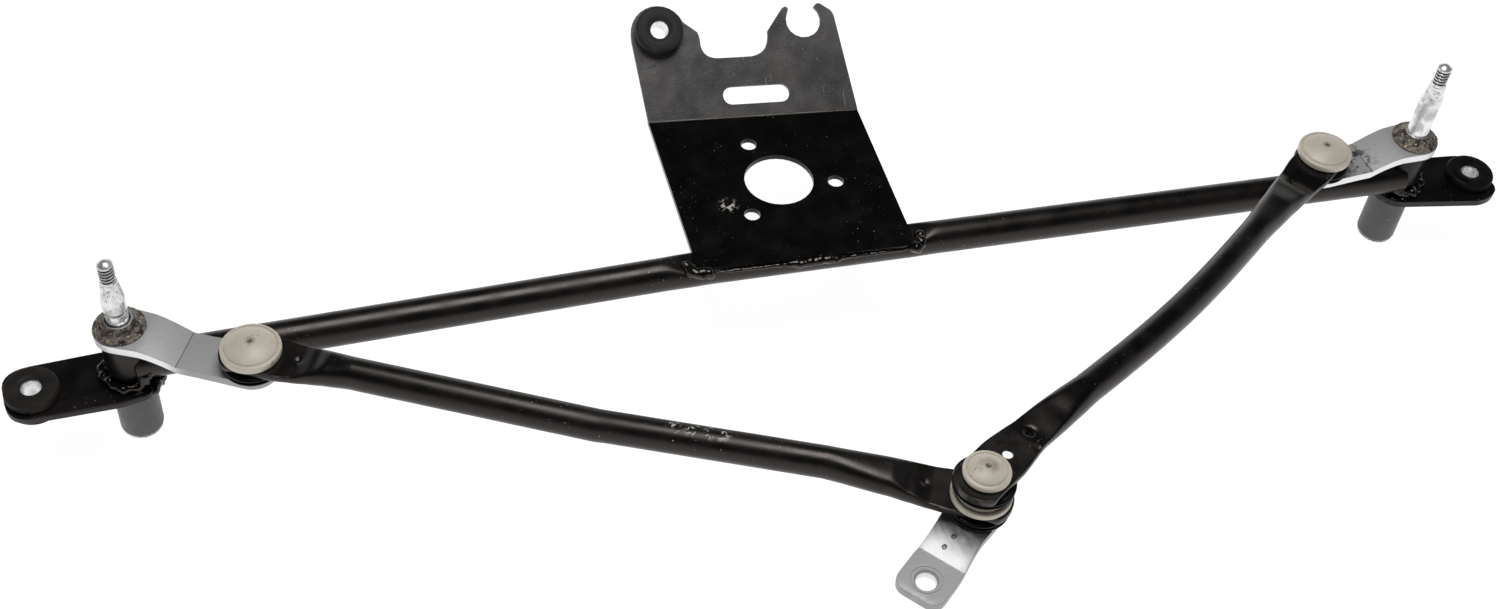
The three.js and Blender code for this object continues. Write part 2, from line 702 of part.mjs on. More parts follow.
// The right link slopes down from the middle stud and bows forward.
function rightLink(length) {
  const high = UPPER_LINK_BOTTOM + FLAT_HALF_HEIGHT;
  const low = SIDE_LINK_BOTTOM + FLAT_HALF_HEIGHT;
  const rodShape = {
    length,
    firstEnd: RIGHT_MIDDLE_END,
    lastEnd: RIGHT_OUTER_END,
    height: (distance) => ramp(distance, FLAT_REACH, length - FLAT_REACH, high, low),
    bow: (distance) => -RIGHT_BOW * Math.sin(Math.PI * THREE.MathUtils.clamp(distance / length, 0, 1)) ** 2,
  };
  const pressHole = new THREE.Vector2(15.2, -0.9);
  return link(rodShape, UPPER_SOCKET_NECK + GAP, LOOSE_HOLE).subtract(drill(pressHole, 2, 60, 80, 16));
}

// ---------- Ball joints ----------
function arc(centre, radius, from, to, steps) {
  const points = [];
  for (let step = 0; step <= steps; step++) {
    const angle = THREE.MathUtils.degToRad(from + ((to - from) * step) / steps);
    points.push([radius * Math.cos(angle), centre + radius * Math.sin(angle)]);
  }
  return points;
}

// Cap outline from its rim up over the dome, ending at the given inner radius.
function dome(radius, bottom, rim, rise, innerRadius) {
  const curve = (radius ** 2 + rise ** 2) / (2 * rise);
  const points = [[radius, bottom + 0.5], [radius, bottom + rim]];
  [0.86, 0.66, 0.4, innerRadius / radius].forEach((part) => {
    const r = radius * part;
    const drop = curve - Math.sqrt(curve ** 2 - r ** 2);
    points.push([r, bottom + rim + rise - drop]);
  });
  return points;
}

// A snap-in socket: cap above the link plate, neck through it, ball cavity inside.
function socket(capRadius, neckRadius, linkBottom, ball, rise, throughHole) {
  const capBottom = linkBottom + 2 * FLAT_HALF_HEIGHT + GAP;
  const cavity = ball.radius + GAP;
  const mouth = THREE.MathUtils.radToDeg(Math.asin((linkBottom - ball.height) / cavity));
  const topAngle = THREE.MathUtils.radToDeg(Math.acos(throughHole / cavity));
  const outside = [
    [neckRadius, linkBottom],
    [neckRadius, capBottom],
    [capRadius - 0.5, capBottom],
    ...dome(capRadius, capBottom, 2.4, rise, throughHole),
  ];
  const inside = arc(ball.height, cavity, topAngle, mouth, 5);
  if (throughHole === 0) {
    inside[0][0] = 0;
    return turned([...inside, ...outside]);
  }
  return turned([...inside, ...outside, inside[0]]);
}

// The right socket is wide inside, so that its ball can wander.
function roomySocket() {
  const capBottom = SIDE_LINK_BOTTOM + 2 * FLAT_HALF_HEIGHT + GAP;
  const ceiling = capBottom + 5.6;
  return turned([
    [0, ceiling],
    [9, ceiling - 0.3],
    [10.8, ceiling - 2.4],
    [10.8, capBottom],
    [CAP_RADIUS - 0.5, capBottom],
    ...dome(CAP_RADIUS, capBottom, 2.4, 5.4, 0),
  ]);
}

function sealRing(inner, bottom, top) {
  const middle = (bottom + top) / 2;
  return turned([
    [inner, bottom],
    [SEAL_RADIUS - 1.2, bottom],
    [SEAL_RADIUS, middle],
    [SEAL_RADIUS - 1.2, top],
    [inner, top],
    [inner, bottom],
  ]);
}

// Rivet head, shank through the plate, shoulder, neck and ball.
function ballStud(plateBottom, shoulder, neck, ball) {
  const head = 1.6;
  const plateTop = plateBottom + PLATE;
  const meet = THREE.MathUtils.radToDeg(Math.acos(neck / ball.radius));
  return [
    [0, plateBottom - GAP - head],
    [4.5, plateBottom - GAP - head],
    [5.6, plateBottom - GAP],
    [RIVET_SHANK, plateBottom - GAP],
    [RIVET_SHANK, plateTop + GAP],
    [shoulder, plateTop + GAP],
    [shoulder, plateTop + GAP + 1.5],
    [neck, plateTop + GAP + 2.5],
    ...arc(ball.height, ball.radius, -meet, 90, 6),
  ];
}

function simpleStud(plateBottom, shoulder, neck, ball) {
  const profile = ballStud(plateBottom, shoulder, neck, ball);
  profile[profile.length - 1][0] = 0;
  return turned(profile, 20);
}

// The middle stud carries a second ball on a neck that rises out of the first one.
function doubleStud(lower, upper) {
  const neck = 3.2;
  const profile = ballStud(CRANK_TOP - PLATE, 7, 4, lower).filter(
    ([radius, height]) => height < lower.height || radius > neck,
  );
  const meet = THREE.MathUtils.radToDeg(Math.acos(neck / upper.radius));
  const top = arc(upper.height, upper.radius, -meet, 90, 6);
  top[top.length - 1][0] = 0;
  const leaves = lower.height + Math.sqrt(lower.radius ** 2 - neck ** 2);
  return turned([...profile, [neck, leaves], ...top], 20);
}

// ---------- Assembly ----------
function buildFrame() {
  add("frame_tube", frameTube(), blackPaint);
  add("motor_bracket", motorBracket(), satinBlack);
  add("bracket_weld_left", bracketWeld(0.06, 22), blackPaint);
  add("bracket_weld_middle", bracketWeld(0.5, 26), blackPaint);
  add("bracket_weld_right", bracketWeld(0.93, 20), blackPaint);
  add("left_mounting_ear", mountingEar(leftEarOutline(), LEFT_PIVOT, new THREE.Vector2()), blackPaint);
  add("right_mounting_ear", mountingEar(rightEarOutline(), RIGHT_PIVOT, RIGHT_BOLT), blackPaint);
}

function buildPivot(side, pivot) {
  const group = new THREE.Group();
  group.position.copy(pivot);
  root.add(group);
  const shaftClear = SHAFT_RADIUS + GAP;
  const bushOuter = HOUSING_BORE - GAP;
  const upperTop = HOUSING_TOP;
  add(`${side}_pivot_housing`, housing(), housingSteel, group);
  add(`${side}_upper_bushing`, ring(shaftClear, bushOuter, upperTop - BUSHING_LENGTH, upperTop), bronze, group);
  const lowerTop = HOUSING_BOTTOM + BUSHING_LENGTH;
  add(`${side}_lower_bushing`, ring(shaftClear, bushOuter, HOUSING_BOTTOM, lowerTop), bronze, group);
  const leverBottom = LEVER_TOP - PLATE;
  add(`${side}_thrust_washer`, ring(shaftClear, 10.5, HOUSING_TOP + GAP, leverBottom - GAP), brightSteel, group);
  const washerTop = HOUSING_BOTTOM - GAP;
  add(`${side}_lower_washer`, ring(shaftClear, 10.5, washerTop - 0.9, washerTop), brightSteel, group);
  const clipTop = washerTop - 0.9 - GAP;
  const clipBore = SHAFT_RADIUS - CLIP_GROOVE + 0.2;
  add(`${side}_retaining_clip`, ring(clipBore, 9, clipTop - 0.9, clipTop), brightSteel, group);
  add(`${side}_housing_weld`, housingWeld(pivot), blackPaint);
}

function buildGrommets() {
  const earGrommets = { left: new THREE.Vector3(), right: RIGHT_BOLT };
  Object.entries(earGrommets).forEach(([side, bolt]) => {
    const group = new THREE.Group();
    group.position.copy(bolt);
    root.add(group);
    add(`${side}_grommet`, grommet(EAR_BOTTOM, EAR_TOP, SLEEVE_HEIGHT - 0.4), rubber, group);
    add(`${side}_grommet_sleeve`, sleeve(SLEEVE_HEIGHT), brightSteel, group);
  });
  const group = new THREE.Group();
  group.applyMatrix4(flangeFrame);
  group.translateX(FLANGE_BOLT.x);
  group.translateY(FLANGE_BOLT.y);
  const below = 6;
  group.translateZ(-SHEET - below);
  root.add(group);
  const height = below + SHEET + 8.2;
  add("bracket_grommet", grommet(below, below + SHEET, height - 0.4), rubber, group);
  add("bracket_grommet_sleeve", sleeve(height), brightSteel, group);
}

function buildLever(side, pivot, ballPoint, tip) {
  const offset = ballPoint.clone().sub(pivot);
  const group = new THREE.Group();
  group.position.copy(pivot);
  root.add(group);
  add(`${side}_wiper_shaft`, wiperShaft(tip), brightSteel, group);
  add(`${side}_staked_collar`, collar(), stakedSteel, group);
  const arm = add(`${side}_lever`, lever(offset.length()), zinc, group);
  arm.rotation.z = Math.atan2(offset.y, offset.x);
}

function placeAt(point, name, geometry, material) {
  add(name, geometry.translate(point.x, point.y, 0), material);
}

function buildBallJoints() {
  const leverBottom = LEVER_TOP - JOGGLE - PLATE;
  const sealBottom = leverBottom + PLATE + GAP;
  const sealTop = SIDE_LINK_BOTTOM - GAP;
  const sealInner = SOCKET_NECK + 0.6;
  const ball = { radius: BALL_RADIUS, height: SIDE_LINK_BOTTOM + 3.7 };
  placeAt(LEFT_BALL, "left_ball_stud", simpleStud(leverBottom, 7, 4, ball), brightSteel);
  placeAt(LEFT_BALL, "left_joint_seal", sealRing(sealInner, sealBottom, sealTop), rubber);
  const leftSocket = socket(CAP_RADIUS, SOCKET_NECK, SIDE_LINK_BOTTOM, ball, 5.8, 0);
  placeAt(LEFT_BALL, "left_joint_socket", leftSocket, nylon);

  const loose = { radius: LOOSE_BALL_RADIUS, height: SIDE_LINK_BOTTOM + 5.3 };
  placeAt(RIGHT_BALL, "right_ball_stud", simpleStud(leverBottom, RIVET_SHANK, 2.6, loose), brightSteel);
  placeAt(RIGHT_BALL, "right_joint_seal", sealRing(sealInner + 0.1, sealBottom, sealTop), rubber);
  placeAt(RIGHT_BALL, "right_joint_socket", roomySocket(), nylon);

  const lower = { radius: BALL_RADIUS, height: LOWER_LINK_BOTTOM + 3.7 };
  const upper = { radius: UPPER_BALL_RADIUS, height: UPPER_LINK_BOTTOM + 3.5 };
  const throughHole = 3.9;
  placeAt(MIDDLE_BALL, "double_ball_stud", doubleStud(lower, upper), brightSteel);
  placeAt(MIDDLE_BALL, "middle_lower_seal", sealRing(sealInner, CRANK_TOP + GAP, LOWER_LINK_BOTTOM - GAP), rubber);
  const lowerSocket = socket(CAP_RADIUS, SOCKET_NECK, LOWER_LINK_BOTTOM, lower, 5.5, throughHole);
  placeAt(MIDDLE_BALL, "middle_lower_socket", lowerSocket, nylon);
  const upperSealTop = UPPER_LINK_BOTTOM - GAP;
  placeAt(MIDDLE_BALL, "middle_upper_seal", sealRing(7.8, upperSealTop - 3.9, upperSealTop), rubber);
  const upperSocket = socket(SMALL_CAP_RADIUS, UPPER_SOCKET_NECK, UPPER_LINK_BOTTOM, upper, 4, 0);
  placeAt(MIDDLE_BALL, "middle_upper_socket", upperSocket, nylon);
}

// A piece modelled along +X from a start point, turned to point at a target.
function aimed(name, body, material, start, target) {
  const mesh = add(name, body, material);
  mesh.position.set(start.x, start.y, 0);
  mesh.rotation.z = Math.atan2(target.y - start.y, target.x - start.x);
}

function buildLinks() {
  const leftLength = LEFT_BALL.distanceTo(MIDDLE_BALL);
  const rightLength = MIDDLE_BALL.distanceTo(RIGHT_BALL);
  aimed("left_link", leftLink(leftLength), blackPaint, LEFT_BALL, MIDDLE_BALL);
  aimed("right_link", rightLink(rightLength), blackPaint, MIDDLE_BALL, RIGHT_BALL);
  aimed("motor_crank", motorCrank(), zinc, MIDDLE_BALL, CRANK_HOLE);
}

buildFrame();
buildPivot("left", LEFT_PIVOT);
buildPivot("right", RIGHT_PIVOT);
buildGrommets();
buildLever("left", LEFT_PIVOT, LEFT_BALL, LEFT_TIP);
buildLever("right", RIGHT_PIVOT, RIGHT_BALL, RIGHT_TIP);
buildBallJoints();
buildLinks();

export default root;
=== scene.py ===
import json
import math

import bmesh
import bpy
from mathutils import Matrix, Vector, noise


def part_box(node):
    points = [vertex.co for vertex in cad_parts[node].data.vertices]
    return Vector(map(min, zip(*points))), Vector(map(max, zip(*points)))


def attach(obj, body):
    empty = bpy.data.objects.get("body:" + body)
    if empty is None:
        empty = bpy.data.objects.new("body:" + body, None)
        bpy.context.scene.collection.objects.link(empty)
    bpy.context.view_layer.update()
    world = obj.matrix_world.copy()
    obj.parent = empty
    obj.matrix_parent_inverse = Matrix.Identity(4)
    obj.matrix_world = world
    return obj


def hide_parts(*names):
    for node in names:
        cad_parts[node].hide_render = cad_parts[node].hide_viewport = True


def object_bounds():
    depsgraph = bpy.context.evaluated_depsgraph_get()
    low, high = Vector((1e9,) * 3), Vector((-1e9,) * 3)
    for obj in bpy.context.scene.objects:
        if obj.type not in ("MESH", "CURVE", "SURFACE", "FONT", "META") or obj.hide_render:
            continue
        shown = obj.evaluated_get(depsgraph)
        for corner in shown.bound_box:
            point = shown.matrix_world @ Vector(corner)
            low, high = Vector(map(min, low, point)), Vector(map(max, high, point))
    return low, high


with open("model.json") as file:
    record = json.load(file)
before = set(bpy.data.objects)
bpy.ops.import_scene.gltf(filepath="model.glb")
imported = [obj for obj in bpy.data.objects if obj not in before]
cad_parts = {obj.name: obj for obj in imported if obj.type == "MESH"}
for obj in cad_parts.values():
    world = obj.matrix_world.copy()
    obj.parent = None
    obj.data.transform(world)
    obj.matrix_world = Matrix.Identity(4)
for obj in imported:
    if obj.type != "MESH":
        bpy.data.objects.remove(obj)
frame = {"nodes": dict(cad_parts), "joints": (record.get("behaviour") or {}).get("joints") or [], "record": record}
cad_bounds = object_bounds()

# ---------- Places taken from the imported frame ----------
MM = 0.001


def named(rows, name):
    return next(row for row in rows if row["name"] == name)


def joint_place(name):
    return Vector(named(frame["joints"], name)["pos_m"])


def midpoint(low, high):
    return (Vector(low) + Vector(high)) / 2


def centre(node):
    return midpoint(*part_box(node))


def bottom(node):
    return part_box(node)[0].z


def top(node):
    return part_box(node)[1].z


def at_height(point, height):
    return Vector((point.x, point.y, height))


def span(start, target):
    """The level distance between two points, in millimetres."""
    return (target.xy - start.xy).length / MM


PIVOTS = {"left": joint_place("left_wiper_pivot"), "right": joint_place("right_wiper_pivot")}
BALLS = {"left": centre("left_ball_stud"), "right": centre("right_ball_stud")}
MIDDLE_BALL = centre("double_ball_stud")
CRANK_HOLE = midpoint(*named(frame["record"]["physics"]["openings"], "crank_hole")["box_m"])
BRACKET_LOW, BRACKET_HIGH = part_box("motor_bracket")
TUBE_LOW, TUBE_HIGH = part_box("frame_tube")

# ---------- Sizes in millimetres ----------
PLATE = 5.0  # levers and crank
JOGGLE = 7.0  # how far the levers and the crank step down
LEVER_WIDTHS = (13.4, 11.4, 12.4)  # half widths at the hub, the waist and the ball
LEVER_BEND = (13, 32.8, 1.45)  # start of the slope, its fold, and how quickly it steepens
CRANK_BEND = (14.5, 32, 1.2)
CRANK_HALF = 12.9
CRANK_HOLE_RADIUS = 5.0
SHAFT_RADIUS = 6.0
TIP_RADIUS = 1.3
THREAD_RADIUS = 3.95
THREAD_PITCH = 2.0
THREAD_DEPTH = 0.75
CONE_TIP = 4.4  # radius where the knurled cone begins
KNURL_TEETH = 40
KNURL_DEPTH = 0.5
HOUSING_RADIUS = 11.0
HOUSING_BORE = 8.8
TUBE_RADIUS = (TUBE_HIGH.z - TUBE_LOW.z) / 2 / MM
TUBE_AXIS = (TUBE_HIGH.z + TUBE_LOW.z) / 2
ROD_RADIUS = 8.0
ROD_END_RADIUS = 16.0
ROD_FLAT = 2.0  # half the thickness of a pressed end
SHEET = 3.0
RIVET_HOLE = 3.8  # radius of the hole for a ball stud
CAP_RADIUS = 15.0
CAP_NECK = 8.7
CAP_DIMPLE = 1.3
CAP_HOLES = {"left_link": (9.0, 9.0), "right_link": (7.5, 10.2)}

# Each pressed end: distance from its ball, half width, half height, lift of the centre line.
LINK_ENDS = {
    "left_outer": [
        (14, 12.5, 2, 0), (24, 11.2, 2.1, 0), (32, 10, 4.2, 0.8), (40, 9.2, 6.8, 1.5), (52, 8.2, 8, 2),
    ],
    "left_middle": [
        (14, 12.5, 2, 0), (23, 11.7, 2.1, 0), (33, 10.8, 3.8, 0.8), (43, 10, 6.5, 1.6), (75, 8, 8, 2.2),
    ],
    "right_middle": [(14, 12.5, 2, 0), (36, 9.8, 2.4, 0), (52, 9.6, 4.4, 0), (66, 9, 6.6, 0), (82, 8, 8, 0)],
    "right_outer": [(16, 12.5, 2, 0), (30, 11, 2.3, 0), (42, 10.3, 4.8, 0), (56, 9.4, 7, 0), (84, 8, 8, 0)],
}


# ---------- Shader nodes ----------
class Shader:
    """A material with short calls for the nodes used here."""

    def __init__(self, name, roughness=0.5, metallic=0.0):
        self.material = bpy.data.materials.new(name)
        self.material.use_nodes = True
        self.tree = self.material.node_tree
        self.surface = self.tree.nodes["Principled BSDF"]
        self.set("Roughness", roughness)
        self.set("Metallic", metallic)
        self.place = self.tree.nodes.new("ShaderNodeTexCoord").outputs["Object"]

    def link(self, source, node, name):
        """Feeds an input from another node's output, or sets it to a plain value."""
        if hasattr(source, "node"):
            self.tree.links.new(source, node.inputs[name])
        else:
            node.inputs[name].default_value = source

    def set(self, name, source):
        self.link(source, self.surface, name)

    def node(self, kind, output, inputs, **settings):
        made = self.tree.nodes.new("ShaderNode" + kind)
        for name, value in settings.items():
            setattr(made, name, value)
        for name, source in inputs.items():
            self.link(source, made, name)
        return made.outputs[output]

    def stretched(self, scale):
        return self.node("Mapping", "Vector", {"Vector": self.place, "Scale": scale})

    def noise(self, scale, detail=3.0, distortion=0.0, where=None):
        inputs = {"Vector": where or self.place, "Scale": scale, "Detail": detail, "Distortion": distortion}
        return self.node("TexNoise", "Fac", inputs)

    def cells(self, scale):
        return self.node("TexVoronoi", "Distance", {"Vector": self.place, "Scale": scale})

    def between(self, value, low, high, to_low=0.0, to_high=1.0):
        inputs = {"Value": value, "From Min": low, "From Max": high, "To Min": to_low, "To Max": to_high}
        return self.node("MapRange", "Result", inputs, interpolation_type="SMOOTHSTEP")

    def spots(self, scale, detail, low, high, distortion=0.0):
        """Noise cut at a level: 0 below low and 1 above high."""
        return self.between(self.noise(scale, detail, distortion), low, high)

    def times(self, a, b):
        return self.node("Math", "Value", {0: a, 1: b}, operation="MULTIPLY")

    def greater(self, a, b):
        return self.node("Math", "Value", {0: a, 1: b}, operation="MAXIMUM")

    def mix(self, factor, a, b):
        """One colour turning into another as the factor goes from 0 to 1."""
        a, b = (colour if hasattr(colour, "node") else (*colour, 1.0) for colour in (a, b))
        return self.node("Mix", 2, {"Factor": factor, 6: a, 7: b}, data_type="RGBA")

    def near(self, point, inner, outer):
        """1 within inner metres of a point, falling to 0 at outer metres."""
        distance = self.node("VectorMath", "Value", {0: self.place, 1: point}, operation="DISTANCE")
        return self.between(distance, inner, outer, 1.0, 0.0)

    def rough(self, source, low, high):
        self.set("Roughness", self.between(source, 0.3, 0.7, low, high))

    def done(self, colour, relief, strength, depth):
        """Sets the colour and a fine relief, and gives the finished material."""
        self.set("Base Color", colour)
        inputs = {"Height": relief, "Strength": strength, "Distance": depth}
        self.set("Normal", self.node("Bump", "Normal", inputs))
        return self.material


def grey(value):
    return (value, value, value)


def black_paint(name, chip_zones=(), dark=0.0014, gloss=0.32, shine=0.45):
    """Black paint, faintly mottled, with pin-head specks and chips down to metal near given points."""
    shader = Shader(name, gloss)
    shader.set("Specular IOR Level", shine)
    shader.set("Specular Tint", (1.0, 0.9, 0.84, 1.0))
    mottled = shader.mix(shader.noise(45, 4), grey(dark), grey(dark * 2.2))
    flecks = shader.spots(1100, 1, 0.755, 0.78)
    patches = shader.spots(26, 2, 0.5, 0.6)
    chips = shader.times(flecks, patches)
    broken = shader.spots(380, 3, 0.54, 0.57, 0.4)
    for point, reach in chip_zones:
        spot = shader.times(broken, shader.near(point, reach * 0.2, reach))
        chips = shader.greater(chips, spot)
    colour = shader.mix(chips, mottled, (0.5, 0.48, 0.45))
    shader.set("Roughness", shader.between(shader.noise(70, 5), 0.3, 0.75, gloss - 0.05, gloss + 0.1))
    return shader.done(colour, shader.noise(500, 2), 0.06, 0.0004)


def flange_paint():
    """Thin worn black paint on the upright flange: warm and dusty, with smears, specks and scratches."""
    shader = Shader("scuffed_black_paint", 0.5)
    dusty = shader.spots(22, 4, 0.35, 0.7, 0.3)
    colour = shader.mix(dusty, (0.015, 0.013, 0.0125), (0.052, 0.046, 0.043))
    smears = shader.between(shader.noise(1.0, 4, 1.0, shader.stretched((45, 45, 240))), 0.62, 0.72)
    colour = shader.mix(smears, colour, grey(0.008))
    specks = shader.spots(900, 2, 0.69, 0.73)
    scratches = shader.between(shader.noise(1.0, 2, 0.4, shader.stretched((620, 40, 40))), 0.7, 0.73)
    patches = shader.spots(30, 3, 0.5, 0.6)
    marks = shader.times(shader.greater(specks, scratches), patches)
    colour = shader.mix(marks, colour, (0.24, 0.225, 0.21))
    shader.rough(shader.noise(90, 4), 0.42, 0.6)
    return shader.done(colour, shader.noise(600, 4), 0.25, 0.0004)


def housing_steel():
    """Phosphated steel, dark grey with a soft sheen."""
    shader = Shader("dark_satin_steel", 0.5)
    colour = shader.mix(shader.noise(50, 5), (0.052, 0.052, 0.056), (0.082, 0.08, 0.086))
    specks = shader.spots(900, 1, 0.75, 0.78)
    colour = shader.mix(specks, colour, grey(0.3))
    shader.rough(shader.noise(120, 4), 0.42, 0.56)
    return shader.done(colour, shader.noise(900, 3), 0.15, 0.0003)


def shaded_near_hub(shader, colour, hub):
    """Painted shade: darkens a colour in patches near a hub, given as (point, inner, outer), where the seal above
    shades the plate.
    """
    if not hub:
        return colour
    patchy = shader.between(shader.noise(120, 4), 0.2, 0.7, 0.6, 1.0)
    hub_shade = shader.times(shader.near(*hub), patchy)
    return shader.mix(hub_shade, colour, grey(0.06))


def zinc_plate(stains=(), hub=None):
    """Dull zinc with fine rolling marks and, where asked, dark smudges and painted shade round a hub."""
    shader = Shader("zinc_plate", 0.48, 0.25)
    clouds = shader.noise(30, 5, 0.3)
    colour = shader.mix(clouds, (0.36, 0.365, 0.365), (0.45, 0.455, 0.45))
    grain = shader.noise(1.0, 3, 0.0, shader.stretched((90, 1300, 800)))
    colour = shader.mix(shader.between(grain, 0.35, 0.75, 0.0, 0.25), colour, grey(0.28))
    for point, reach in stains:
        smudge = shader.spots(190, 6, 0.49, 0.6, 1.6)
        smudge = shader.times(smudge, shader.near(point, reach * 0.35, reach))
        colour = shader.mix(smudge, colour, grey(0.05))
    # painted shade round the hub, if a hub is given
    colour = shaded_near_hub(shader, colour, hub)
    shader.rough(grain, 0.42, 0.56)
    return shader.done(colour, grain, 0.1, 0.0002)


def zinc_with_fold_highlight(hub, fold):
    """Brighter, smoother zinc with streaks along the bend, a painted highlight towards the fold and painted shade
    round the hub.
    """
    shader = Shader("bright_zinc", 0.5, 0.4)
    streaks = shader.noise(1.0, 4, 0.3, shader.stretched((420, 120, 300)))
    colour = shader.mix(streaks, grey(0.36), grey(0.5))
    # Painted highlight: near-white towards the fold, where the bend catches the light.
    fold_highlight = shader.times(shader.near(*fold), shader.between(streaks, 0.3, 0.6, 0.6, 1.0))
    colour = shader.mix(fold_highlight, colour, grey(0.97))
    # painted shade round the hub
    colour = shaded_near_hub(shader, colour, hub)
    shader.rough(streaks, 0.42, 0.56)
    return shader.done(colour, streaks, 0.08, 0.0002)


def fold_shade_zinc():
    """Painted shade: a dark line along the fold of a plate."""
    shader = Shader("zinc_fold_shade", 0.6, 0.2)
    colour = shader.mix(shader.noise(300, 4), grey(0.07), grey(0.2))
    return shader.done(colour, shader.noise(800, 3), 0.3, 0.0002)


def sheared_edge(highlight_spots):
    """The cut sides of the zinc plates: grey, with painted highlights near given spots (point, inner, outer) where
    the edges reflect the white floor.
    """
    shader = Shader("sheared_zinc_edge", 0.4, 0.35)
    streaks = shader.noise(1.0, 3, 0.0, shader.stretched((700, 700, 60)))
    colour = shader.mix(streaks, grey(0.3), grey(0.42))
    for spot in highlight_spots:
        # painted highlight near each spot
        colour = shader.mix(shader.near(*spot), colour, grey(0.97))
    shader.rough(streaks, 0.34, 0.48)
    return shader.done(colour, streaks, 0.1, 0.0003)


def bright_steel(name="bright_steel", patina=0.35):
    """Plated steel: bright, with cloudy dull patches and small pits."""
    shader = Shader(name, 0.3, 0.75)
    clouds = shader.noise(140, 6, 0.4)
    colour = shader.mix(shader.between(clouds, 0.4, 0.65), grey(0.9), grey(0.9 - patina))
    pits = shader.spots(700, 3, 0.64, 0.7)
    colour = shader.mix(pits, colour, grey(0.2))
    shader.set("Roughness", shader.between(clouds, 0.35, 0.7, 0.22, 0.42))
    return shader.done(colour, shader.noise(500, 5), 0.3, 0.0004)


def shaded_steel():
    """Painted shade at the bottom of threads and knurls and in the neck groove."""
    shader = Shader("steel_root_shade", 0.5, 0.2)
    colour = shader.mix(shader.noise(400, 4), grey(0.015), grey(0.09))
    return shader.done(colour, shader.noise(700, 3), 0.4, 0.0003)


def staked_steel():
    """The swaged collar: dark brown scale with coarse grains that carry painted glints."""
    shader = Shader("staked_collar_steel", 0.5, 0.45)
    clouds = shader.noise(210, 5, 0.5)
    colour = shader.mix(shader.between(clouds, 0.35, 0.65), (0.02, 0.016, 0.013), (0.24, 0.21, 0.18))
    gold = shader.spots(560, 3, 0.6, 0.66)
    colour = shader.mix(gold, colour, (0.46, 0.36, 0.23))
    rust = shader.spots(300, 3, 0.58, 0.64, 0.4)
    colour = shader.mix(rust, colour, (0.035, 0.018, 0.01))
    # Painted glints: near-white specks on the grains.
    grains = shader.between(shader.cells(430), 0.0, 0.3, 1.0, 0.0)
    glints = shader.times(grains, shader.spots(330, 3, 0.5, 0.58))
    colour = shader.mix(glints, colour, (0.85, 0.82, 0.76))
    shader.rough(clouds, 0.3, 0.6)
    return shader.done(colour, shader.noise(480, 4), 1.0, 0.0016)


def nylon(name, axis_point, stain):
    """Natural nylon, slightly see-through, stained round the middle of the cap, with painted shade in the dimple
    at its centre.
    """
    shader = Shader(name, 0.4)
    clouds = shader.noise(90, 5, 0.4)
    colour = shader.mix(clouds, (0.49, 0.45, 0.37), (0.65, 0.60, 0.51))
    blotch = shader.times(shader.near(axis_point, stain, stain * 2.8), shader.noise(240, 4))
    colour = shader.mix(shader.between(blotch, 0.2, 0.7, 0.0, 0.6), colour, (0.19, 0.14, 0.085))
    # painted shade in the dimple at the centre of the cap
    dimple_shade = shader.near(axis_point, 0.0009, 0.0017)
    colour = shader.mix(shader.times(dimple_shade, 0.85), colour, (0.07, 0.045, 0.025))
    nicks = shader.spots(330, 2, 0.72, 0.745, 1.8)
    colour = shader.mix(nicks, colour, (0.07, 0.05, 0.035))
    shader.set("Subsurface Weight", 0.1)
    shader.set("Subsurface Radius", (0.004, 0.0028, 0.002))
    shader.set("Subsurface Scale", 1.0)
    shader.rough(clouds, 0.32, 0.48)
    return shader.done(colour, shader.noise(420, 3), 0.1, 0.0003)


def rubber(name="rubber", tint=(0.011, 0.009, 0.0075), gloss=0.62, shine=0.2):
    """Dusty rubber, finely grained."""
    shader = Shader(name, gloss)
    shader.set("Specular IOR Level", shine)
    dust = shader.noise(90, 6, 0.4)
    pale = tuple(channel * 2.2 for channel in tint)
    colour = shader.mix(shader.between(dust, 0.35, 0.75), tint, pale)
    shader.rough(dust, gloss - 0.08, gloss + 0.15)
    return shader.done(colour, shader.noise(1000, 4), 0.3, 0.0004)


def sintered_bronze():
    """Porous bronze of the plain bearings."""
    shader = Shader("sintered_bronze", 0.5, 0.85)
    pores = shader.spots(1500, 2, 0.6, 0.66)
    colour = shader.mix(pores, (0.42, 0.27, 0.12), (0.06, 0.04, 0.02))
    return shader.done(colour, pores, 0.3, 0.0002)


# ---------- Meshes ----------
def lerp(a, b, share):
    return a + (b - a) * share


def smooth_step(value, low, high):
    share = max(0.0, min(1.0, (value - low) / (high - low)))
    return share * share * (3 - 2 * share)


def table_value(rows, distance):
    """Values part way between rows that start with a distance, half straight and half eased."""
    if distance <= rows[0][0]:
        return rows[0][1:]
    for before, after in zip(rows, rows[1:]):
        if distance <= after[0]:
            share = (distance - before[0]) / (after[0] - before[0])
            eased = smooth_step(share, 0, 1)
            mixed = 0.5 * share + 0.5 * eased
            return tuple(lerp(a, b, mixed) for a, b in zip(before[1:], after[1:]))
    return rows[-1][1:]


def added(name, data):
    """A new object in the scene."""
    made = bpy.data.objects.new(name, data)
    bpy.context.scene.collection.objects.link(made)
    return made


def circle(count):
    """The angle, cosine and sine of even steps round a circle."""
    for number in range(count):
        angle = 2 * math.pi * number / count
        yield angle, math.cos(angle), math.sin(angle)


def skin(name, rows, ring=False, paint=None, sharp=35, end_slot=0):
    """A closed mesh over rows of points. paint(row, side) picks a material slot for a face."""
    form = bmesh.new()
    made = [[form.verts.new(point) for point in row] for row in rows]
    sides = len(rows[0])
    pairs = list(zip(made, made[1:] + made[:1] if ring else made[1:]))
    for number, (near, far) in enumerate(pairs):
        for side in range(sides):
            after = (side + 1) % sides
            face = form.faces.new((near[side], near[after], far[after], far[side]))
            face.smooth = True
            if paint:
                face.material_index = paint(number, side)
    if not ring:
        for loop in (list(reversed(made[0])), made[-1]):
            form.faces.new(loop).material_index = end_slot
    bmesh.ops.remove_doubles(form, verts=form.verts, dist=1e-7)
    bmesh.ops.recalc_face_normals(form, faces=form.faces)
    mesh = bpy.data.meshes.new(name)
    form.to_mesh(mesh)
    form.free()
    mesh.set_sharp_from_angle(angle=math.radians(sharp))
    return added(name, mesh)


